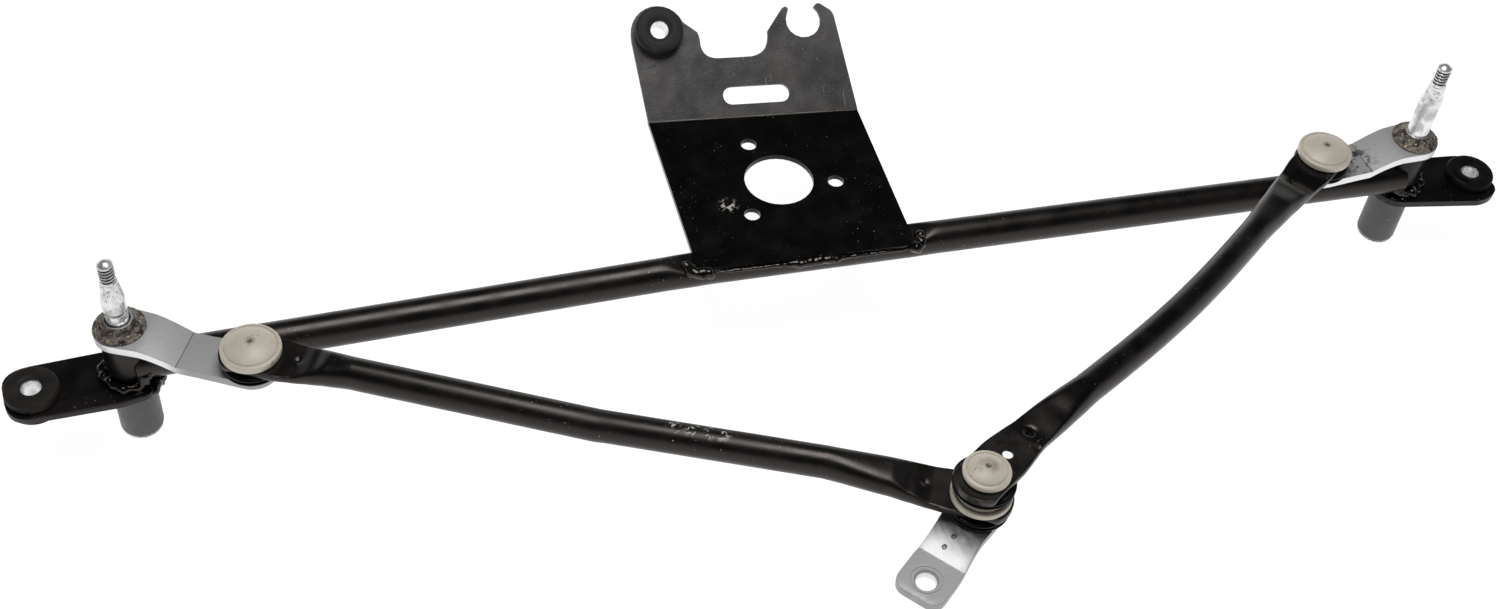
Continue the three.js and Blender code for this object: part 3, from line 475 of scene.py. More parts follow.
def rounded(profile, steps=3):
    """Corner points (radius, height, fillet) become short curves."""
    count = len(profile)
    points = []
    for number, (radius, height, *fillet) in enumerate(profile):
        corner = Vector((radius, height))
        if not fillet:
            points.append(corner)
            continue
        before = Vector(profile[number - 1][:2])
        after = Vector(profile[(number + 1) % count][:2])
        start = corner + (before - corner).normalized() * min(fillet[0], (before - corner).length / 2)
        end = corner + (after - corner).normalized() * min(fillet[0], (after - corner).length / 2)
        for step in range(steps + 1):
            share = step / steps
            points.append(start.lerp(corner, share).lerp(corner.lerp(end, share), share))
    return points


def turned(name, profile, place, sides=64, ring=True, paint=None, ripple=None, sharp=35):
    """A body turned about a place's Z from (radius, height) points in millimetres."""
    rows = []
    for radius, height in rounded(profile):
        row = []
        for angle, cosine, sine in circle(sides):
            grown = radius + (ripple(radius, height, angle) if ripple else 0.0)
            row.append(place @ (Vector((grown * cosine, grown * sine, height)) * MM))
        rows.append(row)
    return skin(name, rows, ring, paint, sharp)


def upright(point):
    return Matrix.Translation((point.x, point.y, 0.0))


def aimed(start, target):
    """A place at start whose X points at target, level."""
    along = target - start
    return upright(start) @ Matrix.Rotation(math.atan2(along.y, along.x), 4, "Z")


def shifted(place, along, across=0.0, up=0.0):
    """A place moved along its own axes, in millimetres."""
    return place @ Matrix.Translation((along * MM, across * MM, up * MM))


def modify(piece, kind, **settings):
    made = piece.modifiers.new(kind, kind)
    for name, value in settings.items():
        setattr(made, name, value)


def carve(piece, cutters, sharp=28):
    """Cuts shapes out of a piece for good and marks its edges sharp beyond an angle in degrees."""
    for cutter in cutters:
        modify(piece, "BOOLEAN", operation="DIFFERENCE", solver="EXACT", object=cutter)
    bpy.context.view_layer.update()
    seen = piece.evaluated_get(bpy.context.evaluated_depsgraph_get())
    mesh = bpy.data.meshes.new_from_object(seen)
    piece.modifiers.clear()
    piece.data = mesh
    mesh.set_sharp_from_angle(angle=math.radians(sharp))
    for cutter in cutters:
        bpy.data.objects.remove(cutter)


def pin(place, radius, low, high, sides=48):
    """A plain cutter along a place's Z, heights in millimetres."""
    profile = [(0, low), (radius, low), (radius, high), (0, high)]
    return turned("cutter", profile, place, sides, ring=False)


def dress(piece, materials):
    for material in materials:
        piece.data.materials.append(material)


def finished(piece, body, slot, materials, *nodes):
    """Gives a piece its materials and its body; slot is not used. It stands for any nodes named."""
    dress(piece, materials)
    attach(piece, body)
    if nodes:
        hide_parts(*nodes)


def painted(piece, material, *nodes):
    """A black piece of the frame."""
    finished(piece, "frame", "black_paint", [material], *nodes)


def repaint(node, materials, round_edges=0.4, edge_slot=-1):
    """Keeps a CAD node: welds its facets, rounds its edges and gives it a finish."""
    piece = frame["nodes"][node]
    if "custom_normal" in piece.data.attributes:
        piece.data.attributes.remove(piece.data.attributes["custom_normal"])
    piece.data.materials.clear()
    dress(piece, materials)
    for face in piece.data.polygons:
        face.use_smooth = True
    modify(piece, "WELD", merge_threshold=1e-6)
    modify(piece, "DECIMATE", decimate_type="DISSOLVE", angle_limit=math.radians(1.0))
    if round_edges:
        limits = {"limit_method": "ANGLE", "angle_limit": math.radians(30)}
        modify(piece, "BEVEL", width=round_edges * MM, segments=3, material=edge_slot, **limits)
    modify(piece, "WEIGHTED_NORMAL", keep_sharp=False)
    return piece


# ---------- Wiper shafts and collars ----------
# Stretches of a shaft in millimetres below its tip.
THREAD = (2.2, 13.0)
CONE = (14.0, 26.0)
KNURL = (14.6, 25.6)
NECK_WIDTH = 1.7
SHAFT_SIDES = 200


def shaft_radius(down, neck_groove):
    """Radius at a distance below the tip: dome, thread, knurled cone, shank."""
    if down < THREAD[0]:
        return lerp(TIP_RADIUS, THREAD_RADIUS, math.sin(math.pi / 2 * down / THREAD[0]))
    if down < CONE[0]:
        return THREAD_RADIUS
    if down < CONE[1]:
        return lerp(CONE_TIP, SHAFT_RADIUS - 0.1, (down - CONE[0]) / (CONE[1] - CONE[0]))
    if neck_groove and down > neck_groove:
        dip = 1.15 if down < neck_groove + NECK_WIDTH else 0.45
        return SHAFT_RADIUS - dip
    return SHAFT_RADIUS


def shaft_surface(down, angle):
    """How far threads and knurls stand off the plain shaft."""
    turn = angle / (2 * math.pi)
    if THREAD[0] < down < THREAD[1]:
        phase = (down / THREAD_PITCH + turn) % 1.0
        groove = 0.5 - 0.5 * math.cos(2 * math.pi * phase)
        return -THREAD_DEPTH * groove * smooth_step(down, THREAD[0], THREAD[0] + 0.8)
    if KNURL[0] < down < KNURL[1]:
        tooth = abs(math.sin(angle * KNURL_TEETH / 2))
        wear = 0.65 + 0.5 * noise.noise(Vector((math.cos(angle), math.sin(angle), down / 4)) * 2)
        return -KNURL_DEPTH * (1 - tooth) * max(0.1, wear)
    return 0.0


def shaft_stations(depth, neck_groove):
    """Distances below the tip at which a shaft is drawn, closest in the thread and the knurl."""
    downs = [0.0, 0.25, 0.6, 1.0, 1.4, 1.8]
    downs += [2.0 + 0.16 * step for step in range(74)]
    downs += [CONE[0] + 0.6 * step for step in range(21)]
    if neck_groove:
        downs += [neck_groove + step for step in (-0.3, 0.02, NECK_WIDTH - 0.05, NECK_WIDTH + 0.25)]
    return downs + [depth - rest for rest in (5.2, 4.4, 4.35, 2.8, 2.75, 0.7, 0.0)]


def wiper_shaft(side, neck_groove, material, root_shade):
    """A threaded and knurled shaft. Its neck starts at neck_groove below the tip, or it has none."""
    node = f"{side}_wiper_shaft"
    tip = top(node) / MM
    depth = tip - bottom(node) / MM
    downs = shaft_stations(depth, neck_groove)
    place = upright(PIVOTS[side])
    rows = []
    for down in downs:
        plain = shaft_radius(down, neck_groove)
        if depth - 4.38 < down < depth - 2.78:
            plain -= 0.8  # the groove of the retaining clip
        if down == depth:
            plain -= 0.7
        row = []
        for angle, cosine, sine in circle(SHAFT_SIDES):
            radius = plain + shaft_surface(down, angle)
            row.append(place @ (Vector((radius * cosine, radius * sine, tip - down)) * MM))
        rows.append(row)

    # Painted shade: the neck groove and the roots of the thread and knurl take the dark material.
    def paint(row, number):
        down = downs[row]
        in_neck = neck_groove and neck_groove < down < neck_groove + NECK_WIDTH - 0.2
        deep = -0.45 if down < CONE[0] else -0.3
        root = shaft_surface(down, 2 * math.pi * (number + 0.5) / SHAFT_SIDES) < deep
        return 1 if in_neck or root else 0

    piece = skin(f"{side}_splined_shaft", rows, paint=paint, sharp=60)
    finished(piece, f"{side}_arm", "bright_steel", [material, root_shade], node)


def collar(side, material, steel):
    """A swaged ring: a rough cone with a ridged flank, and clean metal where it meets the shaft."""
    node = f"{side}_staked_collar"
    low, high = bottom(node) / MM, top(node) / MM

    def dents(radius, height, angle):
        if radius < 7.6 or height < low + 0.2:
            return 0.0
        where = Vector((math.cos(angle) * radius, math.sin(angle) * radius, height))
        return 0.5 * noise.noise(where * 0.6) + 0.4 * noise.noise(where * 1.6)

    bore = SHAFT_RADIUS + 0.25
    profile = [(bore, low), (12.9, low), (12.9, low + 0.9, 0.4), (12.1, low + 1.3, 0.3)]
    profile += [(11.6, low + 1.2, 0.3), (11.0, low + 2.3, 0.5), (10.2, low + 2.7, 0.4), (9.7, low + 3.9, 0.5)]
    profile += [(9.0, low + 4.1, 0.4), (8.4, low + 5.2, 0.4), (7.9, high - 0.4, 0.3), (7.6, high - 0.1)]
    profile += [(7.0, high, 0.3), (bore, high - 0.2)]
    count = len(rounded(profile))
    piece = turned(
        f"{side}_swaged_collar", profile, upright(PIVOTS[side]), 120, ripple=dents, sharp=60,
        paint=lambda row, number: 1 if row >= count - 5 else 0,
    )
    finished(piece, f"{side}_arm", "staked_collar_steel", [material, steel], node)


# ---------- Levers and crank ----------
SURFACE, EDGE, CREASE, SLOPE = range(4)  # material slots of a bent plate
CORNER_STEPS = 6


def plate_section(half_width, height, fillet=0.35):
    """Rounded rectangle across a plate whose top is at height. Corners run round the section."""
    section = []
    fillet = min(fillet, half_width * 0.6)
    foot = height - PLATE
    corners = ((half_width, foot), (half_width, height), (-half_width, height), (-half_width, foot))
    for start, (y, z) in zip((-90, 0, 90, 180), corners):
        inward = Vector((-math.copysign(fillet, y), fillet if z < height else -fillet))
        middle = Vector((y, z)) + inward
        for step in range(CORNER_STEPS):
            angle = math.radians(start + 90 * step / (CORNER_STEPS - 1))
            section.append(middle + Vector((math.cos(angle), math.sin(angle))) * fillet)
    return section


def round_end(radius, centre_distance, toward, steps=12):
    """Stations (distance, half width) round one end of a plate."""
    stations = []
    for step in range(1, steps):
        angle = math.radians(90 * step / steps)
        stations.append((centre_distance - toward * radius * math.cos(angle), radius * math.sin(angle)))
    return stations if toward > 0 else list(reversed(stations))


def stepped_plate(name, start, target, stations, hub_top, bend_from, crease, curve):
    """A plate arm from start towards target. From bend_from it curves down to a crisp fold."""
    place = aimed(start, target)
    first, last = stations[0][0], stations[-1][0]
    fold = [(distance, half) for distance, half in stations if abs(distance - crease) > 0.45]
    near = min(stations, key=lambda station: abs(station[0] - crease))[1]
    fold += [(crease - 0.25, near), (crease, near), (crease + 0.25, near)]
    fold.sort()
    rows = []
    for distance, half_width in fold:
        height = hub_top - step_down(distance, bend_from, crease, curve)
        section = plate_section(half_width, height)
        rows.append([place @ (Vector((distance, y, z)) * MM) for y, z in section])
    sides = (CORNER_STEPS - 1, 3 * CORNER_STEPS - 1)

    def paint(row, side):
        distance = fold[row][0]
        along_edge = any(abs(side - flat) <= 1 for flat in sides)
        rounded_end = distance < first + 3.2 or fold[row + 1][0] > last - 3.2
        on_top = CORNER_STEPS < side < 3 * CORNER_STEPS - 2
        if along_edge or (rounded_end and not on_top):
            return EDGE
        # The thin band at the fold: painted shade on the levers, plain zinc on the crank.
        if crease - 0.3 < distance < crease + 0.2:
            return CREASE
        if bend_from < distance < crease:
            return SLOPE
        return SURFACE

    return skin(name, rows, paint=paint, sharp=24, end_slot=EDGE)


def step_down(distance, bend_from, crease, curve):
    """How far a plate has dropped: a slope that grows by the power curve and ends at the crease."""
    share = max(0.0, min(1.0, (distance - bend_from) / (crease - bend_from)))
    return JOGGLE * share**curve


def waisted(length, hub, waist, end, count=60):
    """Half widths along a plate from hub to ball, narrowest in the middle."""
    stations = []
    for step in range(count + 1):
        share = step / count
        base = lerp(hub, end, share)
        dip = min(hub, end) - waist
        stations.append((length * share, base - dip * math.sin(math.pi * share) ** 1.3))
    return stations


def lever(side, materials):
    """A plate from the shaft to the ball stud, with a hole at each end."""
    node = f"{side}_lever"
    pivot, ball = PIVOTS[side], BALLS[side]
    length = span(pivot, ball)
    hub, waist, end = LEVER_WIDTHS
    stations = round_end(hub, 0, 1) + waisted(length, hub, waist, end) + round_end(end, length, -1)
    piece = stepped_plate(f"{side}_drive_lever", pivot, ball, stations, top(node) / MM, *LEVER_BEND)
    place = aimed(pivot, ball)
    carve(piece, [pin(place, SHAFT_RADIUS + 0.3, 0, 80), pin(shifted(place, length), RIVET_HOLE, 0, 80)])
    finished(piece, f"{side}_arm", "zinc_plate", materials, node)


def crank_stations(length):
    """Half widths along the crank: round hub, slight waist and an end with rounded corners."""
    end = length + 10.6
    corner = 6.5
    straight = int(length) - 5
    stations = round_end(CRANK_HALF, 0, 1)
    stations += [(s, CRANK_HALF - math.sin(math.pi * s / straight) ** 2) for s in range(straight)]
    stations += [(straight + 0.5, CRANK_HALF), (end - corner, CRANK_HALF)]
    for step in range(1, 10):
        angle = math.radians(10 * step)
        inward = corner * (1 - math.cos(angle))
        stations.append((end - corner * (1 - math.sin(angle)), CRANK_HALF - inward))
    return stations


def crank(materials):
    """The motor crank, with a countersunk hole, a turned ring round it and two dimples on its slope."""
    node = "motor_crank"
    length = span(MIDDLE_BALL, CRANK_HOLE)
    hub_top = top(node) / MM
    stations = crank_stations(length)
    piece = stepped_plate("drive_crank", MIDDLE_BALL, CRANK_HOLE, stations, hub_top, *CRANK_BEND)
    place = aimed(MIDDLE_BALL, CRANK_HOLE)
    at_hole = shifted(place, length)
    low = hub_top - JOGGLE
    countersink = [(0, low - 1.3), (5.05, low - 1.3), (6.3, low + 0.3), (0, low + 0.3)]
    ring = [(7.3, low - 0.3), (7.8, low - 0.3), (8.1, low + 0.4), (7.0, low + 0.4)]
    cutters = [
        pin(at_hole, CRANK_HOLE_RADIUS, 0, 80),
        pin(place, RIVET_HOLE, 0, 80),
        turned("cutter", countersink, at_hole, 48, ring=False),
        turned("cutter", ring, at_hole, 48),
    ]
    for distance, across in ((20.4, -1.0), (26.5, -2.2)):
        height = hub_top - step_down(distance, *CRANK_BEND)
        dimple = [(0, height - 0.9), (1.0, height - 0.6), (1.7, height + 1.0), (0, height + 1.0)]
        cutters.append(turned("cutter", dimple, shifted(place, distance, across), 20, ring=False))
    carve(piece, cutters)
    # The hole's wall takes the edge material, with its painted highlight.
    for face in piece.data.polygons:
        if (face.center.xy - at_hole.translation.xy).length < (CRANK_HOLE_RADIUS + 0.1) * MM:
            face.material_index = EDGE
    finished(piece, "crank", "zinc_plate", materials, node)


# ---------- Links ----------
def pressed(height, full, flat, power):
    """A height on a round section after pressing it to a flat, with soft corners."""
    limit = flat / (1 - (flat / full) ** power) ** (1 / power)
    return height / (1 + abs(height / limit) ** power) ** (1 / power)


def pressed_section(half_width, half_height, centre_height, sides=72):
    """A round tube's section with its top and bottom pressed to half_height."""
    full = max(ROD_RADIUS, half_height + 0.001)
    section = []
    for _, cosine, sine in circle(sides):
        height = pressed(full * sine, full, half_height, 7)
        section.append(Vector((half_width * cosine, centre_height + height)))
    return section


def link_piece(name, node, start, target, first, last, height, bow, dimples, material, body, holes=()):
    """A tube between two balls. Its ends, first and last, are pressed flat with round tips.

    height and bow give its centre line. A dimple is (along, across, radius, depth), a hole has no depth.
    """
    length = span(start, target)
    place = aimed(start, target)
    fine = [-ROD_END_RADIUS * math.cos(math.radians(5 + 5 * step)) for step in range(17)]
    fine += [0.8 * step for step in range(125)]
    middle = [lerp(100, length - 100, step / 30) for step in range(1, 30)]
    distances = fine + middle + [length - distance for distance in reversed(fine)]
    rows = []
    for distance in distances:
        near = distance < length / 2
        from_ball = distance if near else length - distance
        half_width, half_height, lift = table_value(first if near else last, from_ball)
        if from_ball < 0:
            half_width = min(half_width, math.sqrt(max(0.01, ROD_END_RADIUS**2 - from_ball**2)))
        section = pressed_section(half_width, half_height, height(distance, length) + lift)
        row = []
        for y, z in section:
            for at, across, radius, depth in dimples:
                if z > height(distance, length):
                    gap = math.hypot(distance - at, y - across)
                    z -= depth * math.exp(-((gap / radius) ** 2))
            row.append(place @ (Vector((distance, y + bow(distance, length), z)) * MM))
        rows.append(row)
    piece = skin(name, rows, sharp=48)
    near_hole, far_hole = CAP_HOLES[node]
    cutters = [pin(place, near_hole, 0, 100), pin(shifted(place, length), far_hole, 0, 100)]
    for at, across, radius in holes:
        ledge = height(at, length) + ROD_FLAT - 1.1
        wide = radius + 2.4
        flare = [(0, 40), (wide, 40), (wide, ledge - 2.4), (radius, ledge), (radius, 100), (0, 100)]
        cutters.append(turned("cutter", flare, shifted(place, at, across), 32, ring=False))
    carve(piece, cutters, 40)
    finished(piece, body, "black_paint", [material], node)


def link_height(seal_node):
    """The centre height of a pressed end that lies on a seal."""
    return top(seal_node) / MM + 0.3 + ROD_FLAT


def left_link(material):
    """The left link rises from the left ball to the lower middle ball over its second half."""
    start, target = BALLS["left"], MIDDLE_BALL
    low, high = link_height("left_joint_seal"), link_height("middle_lower_seal")
    reach = span(start, target)

    def height(distance, length):
        return lerp(low, high, max(0.0, min(1.0, (distance - 175) / (length - 250))))

    def bow(distance, length):
        return 0.0

    link_piece(
        "left_drive_rod", "left_link", start, target, LINK_ENDS["left_outer"], LINK_ENDS["left_middle"],
        height, bow, [(24, 0.5, 1.6, 0.9), (reach - 27, 0, 1.6, 1.0)], material, "left_rod",
    )


def right_link(material):
    """The right link drops evenly to the right ball and bows sideways. It has a hole and three dimples."""
    start, target = MIDDLE_BALL, BALLS["right"]
    high, low = link_height("middle_upper_seal"), link_height("left_joint_seal")
    reach = span(start, target)

    def height(distance, length):
        return lerp(high, low, max(0.0, min(1.0, (distance - 30) / (length - 60))))

    def bow(distance, length):
        return -7.3 * math.sin(math.pi * max(0.0, min(1.0, distance / length))) ** 2

    link_piece(
        "right_drive_rod", "right_link", start, target, LINK_ENDS["right_middle"], LINK_ENDS["right_outer"],
        height, bow, [(35, 0.4, 2.0, 3.0), (29, -9, 1.7, 0.5), (reach - 33, 3, 2.0, 1.6)],
        material, "right_rod", [(16.4, -0.6, 2.6)],
    )


# ---------- Ball joints ----------
def cap_outline(radius, low, high, hole):
    """The part of a nylon socket above its link: side wall, rim ring, groove and shallow dome."""
    wall = low + 0.46 * (high - low)
    outline = [(radius - 0.5, low, 0.3), (radius, low + 0.5, 0.4), (radius, wall, 0.7)]
    ring = radius - 1.5
    outline += [(ring, wall + 0.5, 0.3), (ring - 0.5, wall - 0.3, 0.3), (ring - 1.1, wall + 0.75, 0.4)]
    rise = high - wall - 0.7
    start = ring - 0.8
    for share in (0.86, 0.72, 0.56, 0.4, 0.27):
        if start * share > hole + 0.5:
            outline.append((start * share, high - rise * share**2.1))
    return outline


def through_link(node, neck):
    """The neck of a socket from its mouth up to the top of its link, and that height."""
    mouth = bottom(node) / MM
    low = mouth + 2 * ROD_FLAT + 0.3
    return [(neck, mouth, 0.3), (neck, low)], low


def socket(name, node, point, inside, outside_low, radius, hole, material, body):
    """A turned nylon socket. Its dome is closed by a small dimple, or has a hole for a stud."""
    high = top(node) / MM
    profile = inside + cap_outline(radius, outside_low, high, hole or CAP_DIMPLE)
    if hole:
        profile += [(hole + 0.6, high, 0.4), (hole, high - 0.5), (hole, high - 2.4)]
        profile += [(inside[0][0], high - 6.0)]
    else:
        profile += [(CAP_DIMPLE * 1.3, high - 0.03), (CAP_DIMPLE, high - 0.25)]
        profile += [(CAP_DIMPLE * 0.5, high - 0.6), (0, high - 0.62)]
    piece = turned(name, profile, upright(point), 96, ring=bool(hole), sharp=55)
    finished(piece, body, "nylon", [material], node)


def close_socket(name, node, point, sizes, material, body):
    """A socket that grips its ball. sizes are its radius, its neck, the ball and the ball's height."""
    radius, neck, ball, height = sizes
    mouth = bottom(node) / MM
    room = ball + 0.4
    inside = []
    for turn in (0, 30, 60, 90):
        angle = math.radians(turn)
        inside.append((room * math.sin(angle), mouth + height + room * math.cos(angle)))
    passing, low = through_link(node, neck)
    inside += [(room, mouth)] + passing
    socket(name, node, point, inside, low, radius, 0, material, body)


def roomy_socket(name, node, point, material, body):
    """The right socket: wide inside, with no neck, so that its ball can wander."""
    low = bottom(node) / MM
    ceiling = low + 5.6
    inside = [(0, ceiling), (9, ceiling - 0.3), (10.8, ceiling - 2.4), (10.8, low)]
    socket(name, node, point, inside, low, CAP_RADIUS, 0, material, body)


def open_socket(name, node, point, material, body):
    """The lower middle socket, whose middle is open for the stud's upper neck."""
    passing, low = through_link(node, CAP_NECK)
    inside = [(6.9, bottom(node) / MM)] + passing
    socket(name, node, point, inside, low, CAP_RADIUS, 4.2, material, body)


def seal(name, node, point, inner, material, body):
    """A soft ring with two lips and a groove between them."""
    low, high = bottom(node) / MM, top(node) / MM
    tall = high - low
    profile = [(inner, low), (13.9, low, 0.3), (15.3, low + 0.2 * tall, 0.5), (15.2, low + 0.36 * tall, 0.4)]
    profile += [(13.6, low + 0.47 * tall, 0.4), (13.6, low + 0.56 * tall, 0.4)]
    profile += [(15.2, low + 0.68 * tall, 0.4), (15.4, low + 0.84 * tall, 0.5), (14.4, high, 0.4)]
    profile += [(inner, high)]
    piece = turned(name, profile, upright(point), 96, sharp=60)
    finished(piece, body, "rubber", [material], node)


# ---------- Frame ----------
TUBE_BEND = Vector((0.350, 0.0089))  # x and y of the bend, in metres
TUBE_ENDS = {"left": 0.0022, "right": 0.0001}  # y of the centre line at each pivot
TUBE_PRESS = 3.9
TUBE_SIDES = 96


def tube_line(x):
    """The tube's centre line: straight either side of a slight bend under the bracket."""
    side = "left" if x < TUBE_BEND.x else "right"
    end = Vector((PIVOTS[side].x, TUBE_ENDS[side]))
    return TUBE_BEND.y + (end.y - TUBE_BEND.y) * (x - TUBE_BEND.x) / (end.x - TUBE_BEND.x)


def tube_section(press):
    """The tube's section in millimetres: round, or with its top pressed down by a share."""
    full = TUBE_RADIUS + 0.001
    section = []
    for _, cosine, sine in circle(TUBE_SIDES):
        height = full * sine
        if height > 0:
            height = pressed(height, full, TUBE_RADIUS - TUBE_PRESS * press, 9)
        section.append(((TUBE_RADIUS + 0.5 * press) * cosine, height))
    return section


def frame_tube(material):
    """The cross tube, with its top pressed flat where the bracket sits."""
    start, stop = PIVOTS["left"].x + 0.004, PIVOTS["right"].x - 0.004
    rows = []
    count = 354
    for step in range(count + 1):
        x = lerp(start, stop, step / count)
        ramp_in = smooth_step(x, BRACKET_LOW.x - 0.016, BRACKET_LOW.x + 0.001)
        ramp_out = 1 - smooth_step(x, BRACKET_LOW.x + 0.1205, BRACKET_LOW.x + 0.1385)
        section = tube_section(min(ramp_in, ramp_out))
        rows.append([Vector((x, tube_line(x) + y * MM, TUBE_AXIS + z * MM)) for y, z in section])
    piece = skin("frame_cross_tube", rows, sharp=50)
    low, high = bottom("frame_tube") / MM - 5, top("frame_tube") / MM + 5
    carve(piece, [pin(upright(pivot), HOUSING_RADIUS + 0.3, low, high, 64) for pivot in PIVOTS.values()])
    painted(piece, material, "frame_tube")


def bead(name, path, thickness, seed, lumps=0.35, sides=20, flat=0.85):
    """A run of weld along a path of points. thickness(share) is its radius in millimetres."""
    spine = []
    for before, after in zip(path, path[1:]):
        count = max(3, int((after - before).length / (0.6 * MM)))
        spine += [before.lerp(after, step / count) for step in range(count)]
    spine.append(path[-1])
    total = len(spine) - 1
    rows = []
    for number, point in enumerate(spine):
        ahead = spine[min(total, number + 2)] - spine[max(0, number - 2)]
        across = ahead.cross(Vector((0, 0, 1))).normalized()
        lift = across.cross(ahead).normalized()
        share = number / total
        swell = math.sqrt(max(0.02, 1 - (2 * share - 1) ** 6))
        ripple = 1 + 0.1 * abs(math.sin(number * 0.36 + seed))
        row = []
        for _, cosine, sine in circle(sides):
            spot = (point + across * cosine * 0.002 + lift * sine * 0.002) / MM
            rough = 1 + lumps * noise.noise(spot * 0.3 + Vector((seed, 0, 0))) + 0.12 * noise.noise(spot)
            reach = thickness(share) * MM * swell * ripple * rough
            row.append(point + across * cosine * reach + lift * sine * reach * flat)
        rows.append(row)
    return skin(name, rows, sharp=75)


def bracket_welds(material):
    """A bead round each front corner of the plate, and a thin seam that is heavy in its middle."""
    left_low, left_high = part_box("bracket_weld_left")
    right_low, right_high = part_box("bracket_weld_right")
    z = (left_low.z + left_high.z) / 2
    left = Vector((BRACKET_LOW.x, (left_low.y + left_high.y) / 2, z))
    right = Vector((BRACKET_HIGH.x, (right_low.y + right_high.y) / 2, z))
    along = (right - left).normalized()

    def spot(corner, forward, back, up):
        return corner + along * forward * MM + Vector((0, back * MM, up * MM))

    round_left = [(-4.5, 9.5, 0.4), (-2.6, 6.0, 0.5), (-1.2, 2.4, 0.6), (2.0, 0.2, 0.6), (11.0, -0.3, 0.2)]
    round_right = [(-4.0, -0.6, 0.2), (1.0, 0.3, 0.6), (3.4, 3.2, 0.7), (4.6, 7.0, 0.7), (4.0, 11.0, 0.5)]
    for side, corner, turns, seed in (("left", left, round_left, 1.0), ("right", right, round_right, 9.0)):
        path = [spot(corner, *turn) for turn in turns]
        piece = bead(f"front_weld_{side}", path, lambda share: 3.2, seed)
        painted(piece, material, f"bracket_weld_{side}")

    def seam(share):
        return 1.15 + 1.5 * smooth_step(share, 0.34, 0.42) * (1 - smooth_step(share, 0.6, 0.68))

    halfway = left.lerp(right, 0.5)
    path = [spot(left, 10.0, 0.0, 0.2), spot(halfway, 0.0, -0.4, 0.2), spot(right, -3.0, 0.0, 0.2)]
    piece = bead("front_weld_middle", path, seam, 5.0, lumps=0.3)
    painted(piece, material, "bracket_weld_middle")


def housing_weld(side, material):
    """A lumpy bead round the housing on top of the ear, climbing to the tube, and a seam under it."""
    node = f"{side}_housing_weld"
    pivot = PIVOTS[side]
    z = bottom(node) + 0.0014
    facing, turn, seed = (0, 1, 3.0) if side == "left" else (180, -1, 7.0)
    opening = 30  # degrees left bare where the tube enters
    path = []
    for step in range(41):
        share = step / 40
        angle = math.radians(facing + turn * lerp(opening, 360 - opening, share))
        wander = 0.7 * noise.noise(Vector((math.cos(angle), math.sin(angle), 3.0)) * 2)
        reach = (HOUSING_RADIUS + 1.7 + wander + 1.6 * smooth_step(share, 0.85, 1.0)) * MM
        climb = 0.0085 * smooth_step(share, 0.84, 1.0)
        path.append(Vector((pivot.x + math.cos(angle) * reach, pivot.y + math.sin(angle) * reach, z + climb)))

    def thickness(share):
        return 2.9 + 1.3 * smooth_step(share, 0.8, 0.95)

    piece = bead(f"{side}_ear_weld", path, thickness, seed, lumps=0.5)
    painted(piece, material, node)
    under = [(-15.5, 3, 10), (-14.5, -4, 9), (-11, -10, 8.6), (-5, -14, 8.4), (2, -15.5, 9)]
    path = [Vector((pivot.x - turn * x * MM, pivot.y + y * MM, z * MM)) for x, y, z in under]
    piece = bead(f"{side}_ear_seam", path, lambda share: 4.0 - 1.6 * share, 4.0, lumps=0.9)
    painted(piece, material)


def housing(side, materials):
    """The pivot's housing, machined at its lower rim and painted black above its ear."""
    node = f"{side}_pivot_housing"
    low, high = bottom(node) / MM, top(node) / MM
    ear_top = top(f"{side}_mounting_ear") / MM
    profile = [(HOUSING_BORE, low), (HOUSING_RADIUS - 1.3, low), (HOUSING_RADIUS - 0.3, low + 0.9)]
    profile += [(HOUSING_RADIUS, low + 1.5, 0.3), (HOUSING_RADIUS, ear_top)]
    painted_from = len(rounded(profile)) - 1
    profile += [(HOUSING_RADIUS, high - 0.8, 0.4), (HOUSING_RADIUS - 0.9, high, 0.3), (HOUSING_BORE, high)]

    def paint(row, number):
        if row < 3:
            return 1
        return 2 if row >= painted_from else 0

    piece = turned(f"{side}_shaft_housing", profile, upright(PIVOTS[side]), 96, paint=paint)
    finished(piece, "frame", "dark_steel", materials, node)


# ---------- Grommets ----------
def grommet_pair(prefix, place, plate_low, plate_high, tall, rubber_material, steel):
    """A rubber grommet gripping a plate edge, and the steel sleeve sunk in its bore."""
    radius = 13.7
    neck = 8.6
    lip = 5.2
    sunk = 1.9
    profile = [(6.8, 0.4), (8.5, 0.4), (9.0, 0.9, 0.3), (12.4, 0.9, 0.8), (radius, 2.2, 0.8)]
    profile += [(radius, plate_low - 0.3, 0.5), (neck, plate_low - 0.3), (neck, plate_high + 0.3)]
    profile += [(radius, plate_high + 0.3, 0.5), (radius, tall - 1.6, 0.7), (12.6, tall - 0.5, 0.7)]
    profile += [(9.2, tall - 0.2, 0.6), (7.6, tall - 0.3, 0.5), (lip, tall - 1.2, 0.4)]
    profile += [(lip, tall - sunk + 0.3), (6.8, tall - sunk + 0.3)]
    piece = turned(f"{prefix}_rubber_grommet", profile, place, 80)
    finished(piece, "frame", "rubber", [rubber_material], f"{prefix}_grommet")
    bore = 5.0
    end = tall - sunk
    sleeve = [(bore + 0.4, 0), (6.2, 0), (6.5, 0.4), (6.5, end - 0.4), (6.1, end), (bore + 0.5, end)]
    sleeve += [(bore, end - 0.6), (bore, 0.5)]
    piece = turned(f"{prefix}_steel_sleeve", sleeve, place, 64)
    finished(piece, "frame", "bright_steel", [steel], f"{prefix}_grommet_sleeve")


def flange_place():
    """The tilted place of the bracket's grommet: its foot, with Z along the sleeve."""
    outward = -Vector(named(frame["record"]["mounts"], "cowl_bolt_bracket")["axis"]).normalized()
    middle = centre("bracket_grommet_sleeve")
    turn = outward.to_track_quat("Z", "X").to_matrix().to_4x4()
    return Matrix.Translation(middle) @ turn


